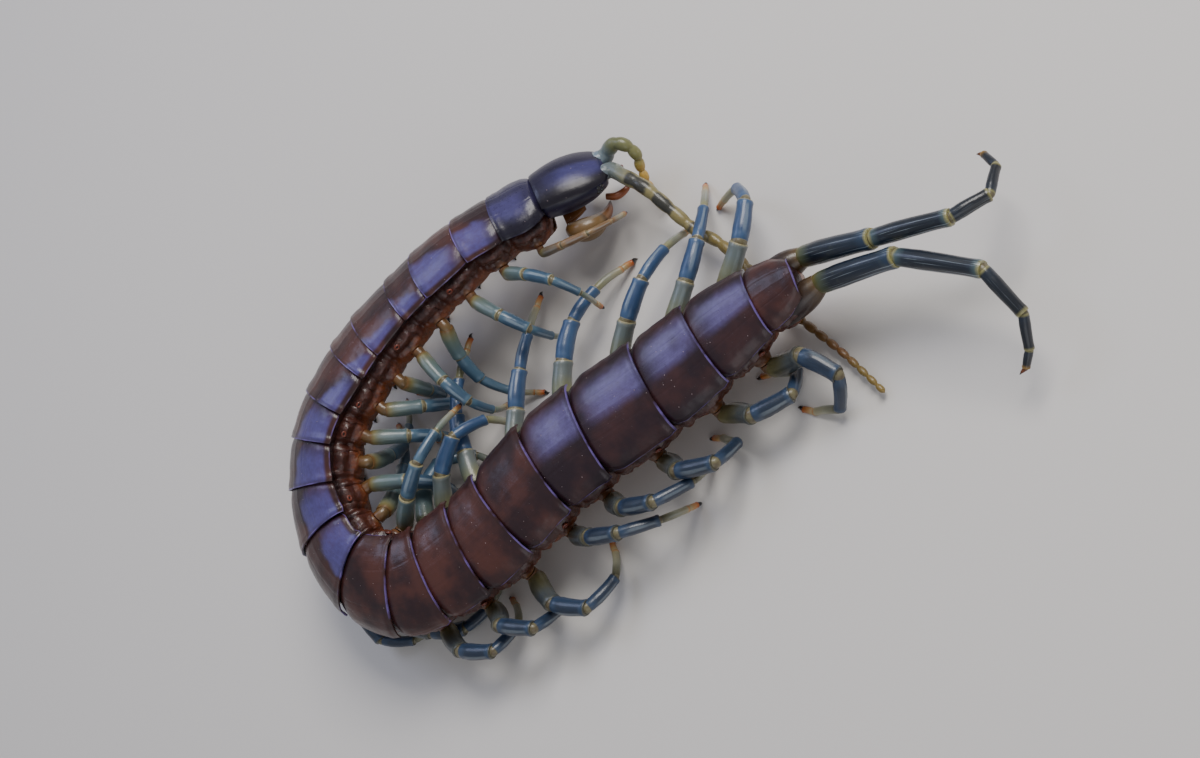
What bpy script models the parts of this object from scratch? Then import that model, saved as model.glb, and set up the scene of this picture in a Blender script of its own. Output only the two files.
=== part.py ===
"""A giant centipede as a still, life-size model: one solid for each part that a person would name.

Every size below is in millimetres. MM turns them into Blender's metres when a mesh is made.
The body lies along BODY_ROUTE from head to tail, and the feet stand on the floor at z = 0.
"""

import math

import bmesh
import bpy
from mathutils import Matrix, Vector

MM = 0.001
GAP = 0.3
UP = Vector((0, 0, 1))
SIDES = {"left": 1, "right": -1}
ROUGHNESS = 0.35
SHARP_ANGLE = 40
HEADING_STEP = 0.05

# Moves the whole animal so that the origin is under the middle of its box
CENTRE_SHIFT = Vector((-2.91, 1.53, 0))

# The axis of the trunk from the back of the head to the tail: x, y, height, roll to the left
BODY_ROUTE = (
    (-10.3, 11.8, 5.9, 16),
    (-14.6, 6.5, 7.6, 21),
    (-18.6, 0.2, 8.1, 25),
    (-21.0, -5.7, 8.5, 22),
    (-21.8, -12.3, 8.5, 26),
    (-19.0, -18.7, 7.3, 24),
    (-15.2, -21.2, 6.6, 26),
    (-10.4, -21.0, 6.0, 17),
    (-4.9, -15.8, 5.4, 11),
    (-0.1, -7.4, 5.4, 7),
    (7.0, 1.3, 5.2, 10),
    (13.3, 9.4, 5.2, 8),
    (15.7, 11.8, 5.2, 3),
)
SEGMENT_LENGTHS = (
    3.7, 3.3, 4.3, 2.9, 4.0, 2.6, 3.8,
    3.2, 3.6, 4.1, 4.4, 4.4, 3.4, 4.1,
    4.1, 5.2, 4.9, 6.4, 5.3, 5.2, 3.3,
)
SEGMENTS_IN_A_NODE = 3

# Across the tergites and from back to belly, along the trunk
WIDTH_STATIONS = (
    (0, 5.6), (2, 6.6), (3.7, 6.1), (5.3, 6.4), (7, 6.4), (9.5, 7.3), (12, 7.6),
    (27, 8.7), (40, 8.6), (66, 8.9), (73, 8.3), (80, 6.9), (84.8, 5.0),
)
DEPTH_STATIONS = ((0, 4.0), (12, 4.7), (27, 5.2), (45, 5.0), (68, 4.9), (77, 4.4), (84.8, 3.7))

# Half of the trunk's outline, from the middle of the back to the middle of the belly,
# as shares of the half width and of the depth
BACK_OUTLINE = ((0.0, 0.50), (0.34, 0.475), (0.62, 0.405), (0.82, 0.31), (0.92, 0.20))
FLANK_OUTLINE = ((0.88, 0.13), (0.93, -0.02), (0.90, -0.20), (0.78, -0.35))
BELLY_OUTLINE = ((0.58, -0.47), (0.0, -0.50))

# How a tergite rises along its segment: share of its length, swell of the back, swell of the belly
PLATE_PROFILE = (
    (0.0, 0.93, 0.94), (0.12, 0.97, 0.99), (0.5, 1.0, 1.0), (0.86, 1.01, 0.99), (1.0, 1.045, 0.94),
)
PLATE_STEP = 0.16

# How the trunk rounds off behind the last segment: step to the rear, share of the outline
TAIL_STEPS = ((0.3, 0.86), (0.5, 0.6))

# Podomeres of a walking leg: prefemur, femur, tibia, first and second tarsus with the claw
LEG_LENGTHS = (3.7, 3.3, 3.3, 2.7, 1.6)
LEG_RADII = (0.82, 0.72, 0.52, 0.33, 0.27)
BEND_SHARES = (0.55, 1.0, 0.7, 0.2)
MOST_BEND = 2.0
BEND_SEARCH_STEPS = 40
KNEE_OUT = 0.8
KNEE_UP = 0.6
COXA_ROOT = 0.68
COXA_RISE = -0.2
COXA_LENGTH = 1.1
COXA_RADIUS = 0.85
COXA_DROP = 45
COXA_SUNK = 0.6
COXA_SHAPE = ((0.0, 0.9), (0.6, 1.0), (1.0, 0.85))
TROCHANTER_LENGTH = 0.5
TROCHANTER_SHARE = 0.8

# Along a podomere: place, share of its radius
PODOMERE_SHAPE = ((0.22, 1.0), (0.82, 0.88))
LAST_PODOMERE_SHAPE = ((0.55, 0.85),)
JOINT_PINCH = 0.9
LEAST_RADIUS = 0.25
RAISED_TIP_RADIUS = 0.12

# Where the body bends sharply, these coxae are turned toward the head to keep their legs apart, in degrees
COXA_SWEEPS = {("right", 10): 28, ("right", 11): 12, ("right", 12): -12, ("right", 13): -28}
FOOT_RADIUS = 0.25
FLOOR_CLEARANCE = 0.06
LEG_SCALES = ((0, 0.68), (6, 0.76), (15, 0.8), (30, 0.85), (45, 0.94), (56, 1.0), (90, 1.0))
LEG_SIDES = 6
STOUT_SIDES = 8

# Where each walking leg stands: x, y and height of the foot, turn of the knee about the leg's line
FEET = {
    ("right", 1): (-5.3, 13.3, 1.8, 19),
    ("right", 2): (-4.0, 5.4, 1.8, 38),
    ("right", 3): (-8.8, 2.4, 0, 17),
    ("right", 4): (-7.9, -2.4, 0, -106),
    ("right", 5): (-11.7, -4.5, 0, -5),
    ("right", 6): (-22.6, -6.6, 0, 62),
    ("right", 7): (-19.1, -6.8, 0, 25),
    ("right", 8): (-18.2, -9.8, 0, 17),
    ("right", 9): (-23.3, -7.3, 0, -92),
    ("right", 10): (-15.5, -14.6, 0, 0),
    ("right", 11): (-23.3, -9.6, 0, -77),
    ("right", 12): (-12.0, -5.7, 5.0, -28),
    ("right", 13): (-8.3, -10.1, 0, 42),
    ("right", 14): (-8.6, -5.9, 0, -22),
    ("right", 15): (-15.3, 0.0, 3.3, 25),
    ("right", 16): (-11.3, 5.2, 1.3, -35),
    ("right", 17): (-3.9, 10.2, 0, 3),
    ("right", 18): (0.7, 14.1, 0, -47),
    ("right", 19): (0.0, 17.5, 0, -76),
    ("right", 20): (2.0, 15.6, 0, -66),
    ("left", 1): (-16.5, 7.1, 0, 0),
    ("left", 2): (-19.3, 3.8, 0, 4),
    ("left", 3): (-21.4, 0.2, 0, 8),
    ("left", 4): (-23.2, -3.2, 0, 12),
    ("left", 5): (-24.7, -6.9, 0, 12),
    ("left", 6): (-25.6, -10.3, 0, 13),
    ("left", 7): (-24.4, -15.4, 0, 21),
    ("left", 8): (-21.2, -18.1, 0, 27),
    ("left", 9): (-18.9, -20.7, 0, 27),
    ("left", 10): (-15.1, -22.9, 0, 29),
    ("left", 11): (-10.1, -22.4, 0, 30),
    ("left", 12): (-5.9, -16.2, 0, 46),
    ("left", 13): (-4.4, -19.0, 0, 1),
    ("left", 14): (-1.8, -18.0, 0, -12),
    ("left", 15): (3.3, -11.5, 0, 15),
    ("left", 16): (10.4, -6.2, 0, -20),
    ("left", 17): (10.1, -2.8, 0, -16),
    ("left", 18): (9.0, -1.4, 0, -15),
    ("left", 19): (11.2, 4.1, 0, -3),
    ("left", 20): (15.7, 3.0, 0, -53),
}

# The last pair of legs trails behind, off the floor: its joints from root to tip
ULTIMATE_JOINTS = {
    "right": (
        (14.8, 13.4, 4.8), (21.0, 15.9, 6.2), (26.6, 18.7, 6.4), (28.4, 21.0, 5.6), (27.5, 23.2, 4.6),
        (25.9, 23.9, 4.1), (25.2, 23.8, 3.9),
    ),
    "left": (
        (17.0, 11.9, 4.8), (23.4, 15.1, 6.2), (30.3, 15.8, 6.2), (33.3, 13.9, 4.4), (33.9, 11.8, 3.0),
        (33.8, 10.6, 2.4), (33.4, 10.0, 2.2),
    ),
}
ULTIMATE_RADII = (0.92, 0.74, 0.56, 0.42, 0.33, 0.2)
ULTIMATE_SHAPE = ((0.0, 0.85), (0.2, 1.0), (0.85, 0.91))
ULTIMATE_CLAW_SHAPE = ((0.0, 1.0), (1.0, 0.5))

# The stub that carries each of them: how far back and out it starts inside the trunk, and its radii
ULTIMATE_STUB_BACK = 1.6
ULTIMATE_STUB_OUT = 0.9
ULTIMATE_STUB_UP = -0.5
ULTIMATE_STUB_BEND = 0.6
ULTIMATE_STUB_BULGE = 0.2
ULTIMATE_STUB_RADII = (0.9, 1.0, 0.85)

# The two antennae: points along each from just in front of the head to the tip
ANTENNA_ROUTES = {
    "right": (
        (-4.7, 15.8, 4.4), (-2.4, 15.4, 4.1), (0.1, 14.4, 3.1), (2.4, 13.5, 2.2), (4.6, 13.1, 1.7),
        (7.8, 11.9, 1.4), (13.4, 9.5, 1.0), (18.4, 7.9, 0.9), (22.8, 6.1, 0.6),
    ),
    "left": (
        (-7.0, 17.6, 4.4), (-6.3, 18.1, 4.7), (-5.5, 18.2, 4.4), (-4.9, 17.9, 3.6), (-4.7, 17.0, 2.6),
        (-4.0, 15.9, 1.6), (-2.4, 15.0, 1.1),
    ),
}
ANTENNA_ROOT = (6.2, 0.9, 0.9)
ANTENNA_ROOT_STEP = 0.4
ANTENNA_ARTICLES = {"right": 22, "left": 9}
ANTENNA_RADII = (0.66, 0.25)
ANTENNA_THINNING = 0.8
LAST_ARTICLE_SHARE = 0.5
ARTICLE_SHAPE = ((0.0, 0.82), (0.55, 1.0))
ANTENNA_SIDES = 6

# The head and its mouthparts, in the frame of the head: forward from the neck, out from the middle, up
HEAD_WIDTH_STATIONS = ((0, 4.7), (1.2, 5.2), (2.9, 5.4), (4.4, 4.9), (5.3, 4.0), (5.7, 3.3))
HEAD_DEPTH_STATIONS = ((0, 2.9), (1.5, 3.3), (2.9, 3.2), (4.4, 2.5), (5.3, 1.8), (5.7, 1.4))
HEAD_STEPS = (0.0, 1.2, 2.4, 3.5, 4.4, 5.2, 5.7)
HEAD_LIFT = 0.75
HEAD_PITCH = 25
HEAD_ROLL = 14
EYE_PLACES = ((4.45, 2.2, 0.95), (4.75, 2.05, 0.95), (4.42, 2.25, 0.6), (4.72, 2.12, 0.6))
EYE_LEAN = 0.4
EYE_RADIUS = 0.2
EYE_SHAPE = ((-0.15, 1.0), (0.0, 1.0), (0.12, 0.5))
EYE_SIDES = 6
FORCIPULE_PLATE = ((0.95, 1.7, 1.0), (1.5, 1.6, 1.0), (2.1, 1.35, 0.9), (2.9, 0.8, 0.7))
FORCIPULE_PLATE_UP = -1.75
FORCIPULE_POINTS = (
    (1.1, 2.2, -1.8), (1.45, 2.75, -1.75), (2.0, 3.1, -1.7), (2.9, 3.15, -1.75),
    (3.5, 2.85, -1.85), (4.1, 2.3, -2.0), (4.6, 1.6, -2.1), (4.9, 0.9, -2.1),
)
FORCIPULE_RADII = (0.6, 0.85, 1.0, 0.95, 0.75, 0.52, 0.35, 0.12)
PALP_POINTS = ((4.8, 1.2, -1.15), (5.6, 1.6, -1.2), (6.4, 1.5, -1.1), (7.0, 1.15, -1.0))
PALP_RADII = (0.3, 0.38, 0.32, 0.22)
MOUTHPART_FLATNESS = 0.85

COLOURS = {
    "plate": (0.055, 0.022, 0.045, 1),
    "head": (0.035, 0.035, 0.085, 1),
    "leg": (0.07, 0.16, 0.24, 1),
    "dark_leg": (0.02, 0.035, 0.06, 1),
    "antenna": (0.15, 0.17, 0.10, 1),
    "amber": (0.42, 0.16, 0.045, 1),
}


def blend(stations, s):
    """The smooth curve through (place, value) stations, read at s."""
    index = 0
    while index < len(stations) - 2 and s > stations[index + 1][0]:
        index += 1

    def slope(i):
        return (stations[i + 1][1] - stations[i][1]) / (stations[i + 1][0] - stations[i][0])

    def tangent(i):
        if i == 0:
            return slope(0)
        if i == len(stations) - 1:
            return slope(i - 1)
        before = stations[i][0] - stations[i - 1][0]
        after = stations[i + 1][0] - stations[i][0]
        return (slope(i - 1) * after + slope(i) * before) / (before + after)

    start, value = stations[index]
    end, next_value = stations[index + 1]
    span = end - start
    t = (s - start) / span
    if t > 1:
        return next_value + tangent(index + 1) * (s - end)
    if t < 0:
        return value + tangent(index) * (s - start)
    keep = 1 - t
    return (
        value * (1 + 2 * t) * keep * keep
        + tangent(index) * span * t * keep * keep
        + next_value * (3 - 2 * t) * t * t
        - tangent(index + 1) * span * t * t * keep
    )


def chord_stations(points):
    """Pairs of (distance run along the straight lines between the points, point)."""
    stations = [(0.0, points[0])]
    for before, point in zip(points, points[1:]):
        stations.append((stations[-1][0] + (point - before).length, point))
    return stations


class Route:
    """A smooth line through points, read by its true length."""

    SAMPLES = 600

    def __init__(self, points):
        self.stations = chord_stations([Vector(point) for point in points])
        chord = self.stations[-1][0]
        self.lengths = [0.0]
        self.marks = [chord * i / self.SAMPLES for i in range(self.SAMPLES + 1)]
        for before, mark in zip(self.marks, self.marks[1:]):
            step = (blend(self.stations, mark) - blend(self.stations, before)).length
            self.lengths.append(self.lengths[-1] + step)

    @property
    def length(self):
        return self.lengths[-1]

    def mark(self, s):
        """The chord distance that lies at true length s, which may run past either end."""
        if s <= 0:
            return s
        if s >= self.length:
            return self.marks[-1] + s - self.length
        index = 0
        while self.lengths[index + 1] < s:
            index += 1
        share = (s - self.lengths[index]) / (self.lengths[index + 1] - self.lengths[index])
        return self.marks[index] + share * (self.marks[index + 1] - self.marks[index])

    def point(self, s):
        return blend(self.stations, self.mark(s))

    def heading(self, s):
        return (self.point(s + HEADING_STEP) - self.point(s - HEADING_STEP)).normalized()


class Frame:
    """A place on the body, with its directions to the rear, to the animal's left and to its back."""

    def __init__(self, centre, rear, roll):
        level_left = rear.cross(UP).normalized()
        level_up = level_left.cross(rear).normalized()
        turn = math.radians(roll)
        self.centre = centre
        self.rear = rear
        self.up = level_up * math.cos(turn) + level_left * math.sin(turn)
        self.left = level_left * math.cos(turn) - level_up * math.sin(turn)

    def at(self, left, up, rear=0.0):
        return self.centre + self.left * left + self.up * up + self.rear * rear


BODY = Route([row[:3] for row in BODY_ROUTE])
ROLLS = tuple((station[0], row[3]) for station, row in zip(BODY.stations, BODY_ROUTE))


def body_frame(s):
    return Frame(BODY.point(s), BODY.heading(s), blend(ROLLS, BODY.mark(s)))


def segment_start(number):
    """Where segment number starts along the body, counting from 1."""
    return sum(SEGMENT_LENGTHS[: number - 1])


def half_width(s):
    return blend(WIDTH_STATIONS, s) / 2


def depth(s):
    return blend(DEPTH_STATIONS, s)


def outline(frame, half, deep, back_swell=1.0, belly_swell=1.0):
    """The closed outline of the body at a frame, from the middle of the back down its left side."""
    left = []
    for across, up in BACK_OUTLINE:
        left.append((across * half * back_swell, up * deep * back_swell))
    for across, up in FLANK_OUTLINE:
        left.append((across * half, up * deep))
    for across, up in BELLY_OUTLINE:
        left.append((across * half, up * deep * belly_swell))
    right = [(-across, up) for across, up in reversed(left[1:-1])]
    return [frame.at(across, up) for across, up in left + right]


def new_object(name, mesh, colour):
    """Adds a mesh in millimetres to the scene as one object in metres, with its own material."""
    mesh.transform(Matrix.Scale(MM, 4) @ Matrix.Translation(CENTRE_SHIFT))
    obj = bpy.data.objects.new(name, mesh)
    bpy.context.scene.collection.objects.link(obj)
    material = bpy.data.materials.new(name)
    material.use_nodes = True
    shader = material.node_tree.nodes["Principled BSDF"]
    shader.inputs["Base Color"].default_value = COLOURS[colour]
    shader.inputs["Roughness"].default_value = ROUGHNESS
    shader.inputs["Metallic"].default_value = 0.0
    material.diffuse_color = COLOURS[colour]
    mesh.materials.append(material)
    mesh.shade_smooth()
    mesh.set_sharp_from_angle(angle=math.radians(SHARP_ANGLE))
    return obj


def loft_mesh(name, rings):
    """A closed mesh through rings of as many points each, with flat ends."""
    form = bmesh.new()
    loops = [[form.verts.new(point) for point in ring] for ring in rings]
    count = len(loops[0])
    for ring, following in zip(loops, loops[1:]):
        for i in range(count):
            j = (i + 1) % count
            form.faces.new((ring[i], ring[j], following[j], following[i]))
    form.faces.new(loops[0][::-1])
    form.faces.new(loops[-1])
    bmesh.ops.recalc_face_normals(form, faces=form.faces)
    bmesh.ops.triangulate(form, faces=form.faces)
    mesh = bpy.data.meshes.new(name)
    form.to_mesh(mesh)
    form.free()
    return mesh


def round_ring(centre, direction, reference, radius, sides, flatness=1.0):
    """A ring of points round a centre, square to a direction. Its wide axis lies along the reference."""
    wide = (reference - direction * reference.dot(direction)).normalized()
    deep = direction.cross(wide)
    ring = []
    for i in range(sides):
        angle = 2 * math.pi * i / sides
        ring.append(centre + wide * (radius * math.cos(angle)) + deep * (radius * flatness * math.sin(angle)))
    return ring


def tube_rings(points, radii, reference, sides, flatness=1.0):
    """Rings along a line of points, each square to the line, carried along without a twist."""
    rings = []
    for i, (point, radius) in enumerate(zip(points, radii)):
        before = points[max(i - 1, 0)]
        after = points[min(i + 1, len(points) - 1)]
        into = (point - before).normalized() if i else (after - point).normalized()
        out = (after - point).normalized() if i < len(points) - 1 else into
        direction = (into + out).normalized()
        reference = (reference - direction * reference.dot(direction)).normalized()
        rings.append(round_ring(point, direction, reference, radius, sides, flatness))
    return rings


def join(base, others):
    """Fuses the others into the base as one closed body."""
    helpers = bpy.data.collections.new("helpers")
    bpy.context.scene.collection.children.link(helpers)
    for other in others:
        bpy.context.scene.collection.objects.unlink(other)
        helpers.objects.link(other)
    union = base.modifiers.new("union", "BOOLEAN")
    union.operation = "UNION"
    union.operand_type = "COLLECTION"
    union.collection = helpers
    union.solver = "EXACT"
    bpy.context.view_layer.update()
    evaluated = base.evaluated_get(bpy.context.evaluated_depsgraph_get())
    joined = bpy.data.meshes.new_from_object(evaluated)
    base.modifiers.clear()
    old = base.data
    base.data = joined
    bpy.data.meshes.remove(old)
    for other in others:
        bpy.data.objects.remove(other)
    bpy.data.collections.remove(helpers)


class Leg:
    """One walking leg: the coxa that the trunk carries, and its joints down to the foot."""

    def __init__(self, side, number):
        self.side = side
        self.number = number
        self.name = f"leg_{side}_{number:02d}"
        middle = segment_start(number) + 0.5 * SEGMENT_LENGTHS[number - 1]
        self.scale = blend(LEG_SCALES, middle)
        frame = body_frame(middle)
        self.out = Vector((frame.left.x, frame.left.y, 0)).normalized() * SIDES[side]
        drop = math.radians(COXA_DROP)
        sweep = math.radians(COXA_SWEEPS.get((side, number), 0))
        level = frame.left * (SIDES[side] * math.cos(sweep)) - frame.rear * math.sin(sweep)
        self.coxa_direction = level * math.cos(drop) - frame.up * math.sin(drop)
        self.base = frame.at(SIDES[side] * COXA_ROOT * half_width(middle), COXA_RISE * depth(middle))
        self.coxa_end = self.base + self.coxa_direction * (COXA_LENGTH * self.scale)
        self.hip = self.coxa_end + self.coxa_direction * (GAP + TROCHANTER_LENGTH * self.scale)
        x, y, height, self.turn = FEET[side, number]
        self.foot = Vector((x, y, height))
        self.lengths = [length * self.scale for length in LEG_LENGTHS]
        self.joints = self.arch()

    def arch(self):
        """The joints of an arch from the hip to the foot, bent at each joint by its share."""
        line = self.foot - self.hip
        if line.length > sum(self.lengths):
            raise ValueError(f"{self.name} can't reach its foot")
        low, high = 0.0, MOST_BEND
        for _ in range(BEND_SEARCH_STEPS):
            bend = (low + high) / 2
            flat = self.flat_joints(bend)
            if flat[-1].length > line.length:
                low = bend
            else:
                high = bend
        along = line.normalized()
        out = self.out * KNEE_OUT + UP * KNEE_UP
        knee = (out - along * out.dot(along)).normalized()
        side = along.cross(knee)
        turn = math.radians(self.turn) * SIDES[self.side]
        knee = knee * math.cos(turn) + side * math.sin(turn)
        self.across = along.cross(knee)
        end = flat[-1].normalized()
        joints = []
        for joint in flat:
            forward = joint.dot(end)
            raised = joint.x * -end.y + joint.y * end.x
            joints.append(self.hip + along * forward + knee * raised)
        return joints

    def flat_joints(self, bend):
        joints = [Vector((0, 0))]
        angle = 0.0
        for length, share in zip(self.lengths, (0.0, *BEND_SHARES)):
            angle -= bend * share
            joints.append(joints[-1] + Vector((math.cos(angle), math.sin(angle))) * length)
        return joints

    def coxa(self):
        """The stub that the trunk carries, sunk into its flank."""
        start = self.base - self.coxa_direction * COXA_SUNK
        points = [start.lerp(self.coxa_end, place) for place, _ in COXA_SHAPE]
        radii = [COXA_RADIUS * self.scale * share for _, share in COXA_SHAPE]
        rings = tube_rings(points, radii, self.across, STOUT_SIDES)
        return new_object(f"coxa_{self.name}", loft_mesh("coxa", rings), "plate")

    def build(self):
        """The leg as one solid from its trochanter to its foot, which stands flat unless it is raised."""
        points = [self.coxa_end + self.coxa_direction * GAP]
        radii = [COXA_RADIUS * self.scale * TROCHANTER_SHARE]
        last = len(LEG_RADII) - 1
        for i, radius in enumerate(LEG_RADII):
            start, end = self.joints[i], self.joints[i + 1]
            thick = radius * self.scale
            pinch = JOINT_PINCH * min(thick, LEG_RADII[max(i - 1, 0)] * self.scale)
            points.append(start)
            radii.append(max(pinch, LEAST_RADIUS))
            for place, share in LAST_PODOMERE_SHAPE if i == last else PODOMERE_SHAPE:
                points.append(start.lerp(end, place))
                radii.append(max(thick * share, LEAST_RADIUS))
        rings = tube_rings(points, radii, self.across, LEG_SIDES)
        rings[0] = round_ring(points[0], self.coxa_direction, self.across, radii[0], LEG_SIDES)
        for ring in rings:
            for point in ring:
                point.z = max(point.z, FLOOR_CLEARANCE)
        foot, before = self.joints[-1], self.joints[-2]
        if self.foot.z == 0:
            rings.append(round_ring(foot, -UP, self.across, FOOT_RADIUS, LEG_SIDES))
        else:
            along = (foot - before).normalized()
            rings.append(round_ring(foot, along, self.across, RAISED_TIP_RADIUS, LEG_SIDES))
        return new_object(self.name, loft_mesh(self.name, rings), "leg")


def build_trunk(legs):
    """The trunk in lengths of a few segments, with the raised plates and the stubs of the legs."""
    ends = range(1, len(SEGMENT_LENGTHS) + 1, SEGMENTS_IN_A_NODE)
    for first in ends:
        last = first + SEGMENTS_IN_A_NODE - 1
        rings = []
        for number in range(first, last + 1):
            start = segment_start(number)
            length = SEGMENT_LENGTHS[number - 1]
            for share, back, belly in PLATE_PROFILE:
                s = start + share * length
                if share == 0.0:
                    s += GAP if number == first else PLATE_STEP
                half = half_width(s)
                deep = depth(s)
                rings.append(outline(body_frame(s), half, deep, back, belly))
        if last == len(SEGMENT_LENGTHS):
            s = segment_start(last + 1)
            for step, swell in TAIL_STEPS:
                rings.append(outline(body_frame(s + step), half_width(s) * swell, depth(s) * swell))
        name = f"trunk_{first:02d}_{last:02d}"
        trunk = new_object(name, loft_mesh(name, rings), "plate")
        stubs = [leg.coxa() for leg in legs if first <= leg.number <= last]
        if last == len(SEGMENT_LENGTHS):
            stubs += [ultimate_stub(side) for side in SIDES]
        join(trunk, stubs)


def ultimate_stub(side):
    """The stub at the end of the trunk that carries the last leg."""
    root, knee = (Vector(joint) for joint in ULTIMATE_JOINTS[side][:2])
    along = (knee - root).normalized()
    end = root - along * GAP
    inner = body_frame(segment_start(len(SEGMENT_LENGTHS) + 1) - ULTIMATE_STUB_BACK)
    start = inner.at(SIDES[side] * ULTIMATE_STUB_OUT, ULTIMATE_STUB_UP)
    points = [start, start.lerp(end, ULTIMATE_STUB_BEND) - along * ULTIMATE_STUB_BULGE, end]
    rings = tube_rings(points, ULTIMATE_STUB_RADII, UP, STOUT_SIDES)
    rings[-1] = round_ring(end, along, UP, ULTIMATE_STUB_RADII[-1], STOUT_SIDES)
    return new_object(f"stub_{side}", loft_mesh("stub", rings), "plate")


def build_ultimate_leg(side):
    joints = [Vector(joint) for joint in ULTIMATE_JOINTS[side]]
    points = []
    radii = []
    for radius, start, end in zip(ULTIMATE_RADII, joints, joints[1:]):
        claw = radius == ULTIMATE_RADII[-1]
        for place, share in ULTIMATE_CLAW_SHAPE if claw else ULTIMATE_SHAPE:
            points.append(start.lerp(end, place))
            radii.append(radius * share)
    name = f"leg_{side}_21"
    return new_object(name, loft_mesh(name, tube_rings(points, radii, UP, STOUT_SIDES)), "dark_leg")


def article_starts(count):
    """Where each article of an antenna starts, as shares of its length. They grow shorter toward the tip."""
    lengths = [1 - (1 - LAST_ARTICLE_SHARE) * i / (count - 1) for i in range(count)]
    return [sum(lengths[:i]) / sum(lengths) for i in range(count + 1)]


def build_antenna(side):
    forward, out, up = ANTENNA_ROOT
    roots = [in_head(step, SIDES[side] * out, up) for step in (forward, forward + ANTENNA_ROOT_STEP)]
    route = Route([*roots, *ANTENNA_ROUTES[side]])
    thick, thin = ANTENNA_RADII
    points = []
    radii = []
    starts = article_starts(ANTENNA_ARTICLES[side])
    for start, end in zip(starts, starts[1:]):
        for place, share in ARTICLE_SHAPE:
            mark = start + (end - start) * place
            points.append(route.point(route.length * mark))
            radii.append((thick + (thin - thick) * mark**ANTENNA_THINNING) * share)
    points.append(route.point(route.length))
    radii.append(thin * ARTICLE_SHAPE[0][1])
    name = f"antenna_{side}"
    return new_object(name, loft_mesh(name, tube_rings(points, radii, UP, ANTENNA_SIDES)), "antenna")


def head_frame(forward):
    """The frame of the head at a distance in front of the trunk."""
    neck = body_frame(0)
    pitch = math.radians(HEAD_PITCH)
    level = Vector((-neck.rear.x, -neck.rear.y, 0)).normalized()
    ahead = level * math.cos(pitch) - UP * math.sin(pitch)
    return Frame(neck.centre + ahead * forward, -ahead, HEAD_ROLL)


def in_head(forward, left, up):
    return head_frame(forward).at(left, up)


def build_head():
    rings = []
    for forward in HEAD_STEPS:
        frame = head_frame(forward)
        frame.centre += frame.up * HEAD_LIFT
        half = blend(HEAD_WIDTH_STATIONS, forward) / 2
        rings.append(outline(frame, half, blend(HEAD_DEPTH_STATIONS, forward)))
    head = new_object("head", loft_mesh("head", rings), "head")
    level = head_frame(0)
    eyes = []
    for side in SIDES.values():
        outward = (level.left * side + level.up * EYE_LEAN).normalized()
        for forward, out, up in EYE_PLACES:
            place = in_head(forward, side * out, up)
            points = [place + outward * step for step, _ in EYE_SHAPE]
            rings = tube_rings(points, [EYE_RADIUS * share for _, share in EYE_SHAPE], level.rear, EYE_SIDES)
            eyes.append(new_object("eye", loft_mesh("eye", rings), "head"))
    join(head, eyes)


def build_mouthparts():
    """The plate under the head, the two venom claws at its sides and the two palps in front."""
    rings = []
    for forward, half, deep in FORCIPULE_PLATE:
        frame = head_frame(forward)
        frame.centre += frame.up * FORCIPULE_PLATE_UP
        rings.append(outline(frame, half, deep))
    new_object("forcipule_plate", loft_mesh("forcipule_plate", rings), "amber")
    wide = head_frame(0).left
    limbs = (("forcipule", FORCIPULE_POINTS, FORCIPULE_RADII), ("palp", PALP_POINTS, PALP_RADII))
    for side, sign in SIDES.items():
        for kind, places, radii in limbs:
            points = [in_head(forward, sign * out, up) for forward, out, up in places]
            name = f"{kind}_{side}"
            rings = tube_rings(points, radii, wide, STOUT_SIDES, MOUTHPART_FLATNESS)
            new_object(name, loft_mesh(name, rings), "amber")


def clear_scene():
    for obj in list(bpy.data.objects):
        bpy.data.objects.remove(obj)


def main():
    clear_scene()
    legs = [Leg(side, number) for side in SIDES for number in range(1, 21)]
    build_trunk(legs)
    for leg in legs:
        leg.build()
    for side in SIDES:
        build_ultimate_leg(side)
        build_antenna(side)
    build_head()
    build_mouthparts()


main()
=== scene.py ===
"""A giant centipede dressed as a museum would: shell plates, wrinkled skin, jointed legs and feelers.

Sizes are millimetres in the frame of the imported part, before CENTRE_SHIFT. MM turns them into metres.
"""

import logging
import math
from dataclasses import dataclass
from enum import Enum
from typing import Any, Callable, Protocol, Sequence

import bmesh
import bpy
from mathutils import Matrix, Vector, noise

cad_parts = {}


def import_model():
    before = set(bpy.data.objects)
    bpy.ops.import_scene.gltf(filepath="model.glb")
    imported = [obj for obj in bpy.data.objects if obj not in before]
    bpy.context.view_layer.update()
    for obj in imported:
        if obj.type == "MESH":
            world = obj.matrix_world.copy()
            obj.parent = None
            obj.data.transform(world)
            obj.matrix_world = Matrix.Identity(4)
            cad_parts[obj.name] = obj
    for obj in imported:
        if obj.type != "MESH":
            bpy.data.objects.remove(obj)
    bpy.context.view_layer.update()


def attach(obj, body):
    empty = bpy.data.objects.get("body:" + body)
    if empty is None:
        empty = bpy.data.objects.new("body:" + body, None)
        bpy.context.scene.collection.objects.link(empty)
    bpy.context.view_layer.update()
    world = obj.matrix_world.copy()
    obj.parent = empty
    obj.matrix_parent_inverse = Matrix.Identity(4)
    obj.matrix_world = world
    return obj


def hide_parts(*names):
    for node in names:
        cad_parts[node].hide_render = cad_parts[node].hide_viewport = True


LOG = logging.getLogger("centipede")

MM = 0.001
UP = Vector((0, 0, 1))
CENTRE_SHIFT = Vector((-2.91, 1.53, 0))
FLOOR_CLEARANCE = 0.03
LONGEST_EDGE_TO_MERGE = 0.0005
SHARP_ANGLE = 50
ROUTE_LAYER = "route"

Colour = tuple[float, float, float]
Stops = tuple[tuple[float, Colour], ...]
Point = tuple[float, float, float]
Points = tuple[Point, ...]
Outline = tuple[tuple[float, float], ...]
Stations = Sequence[tuple[float, Any]]
Place = Callable[[float], Vector]
RingAt = Callable[[float], Place]


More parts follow.
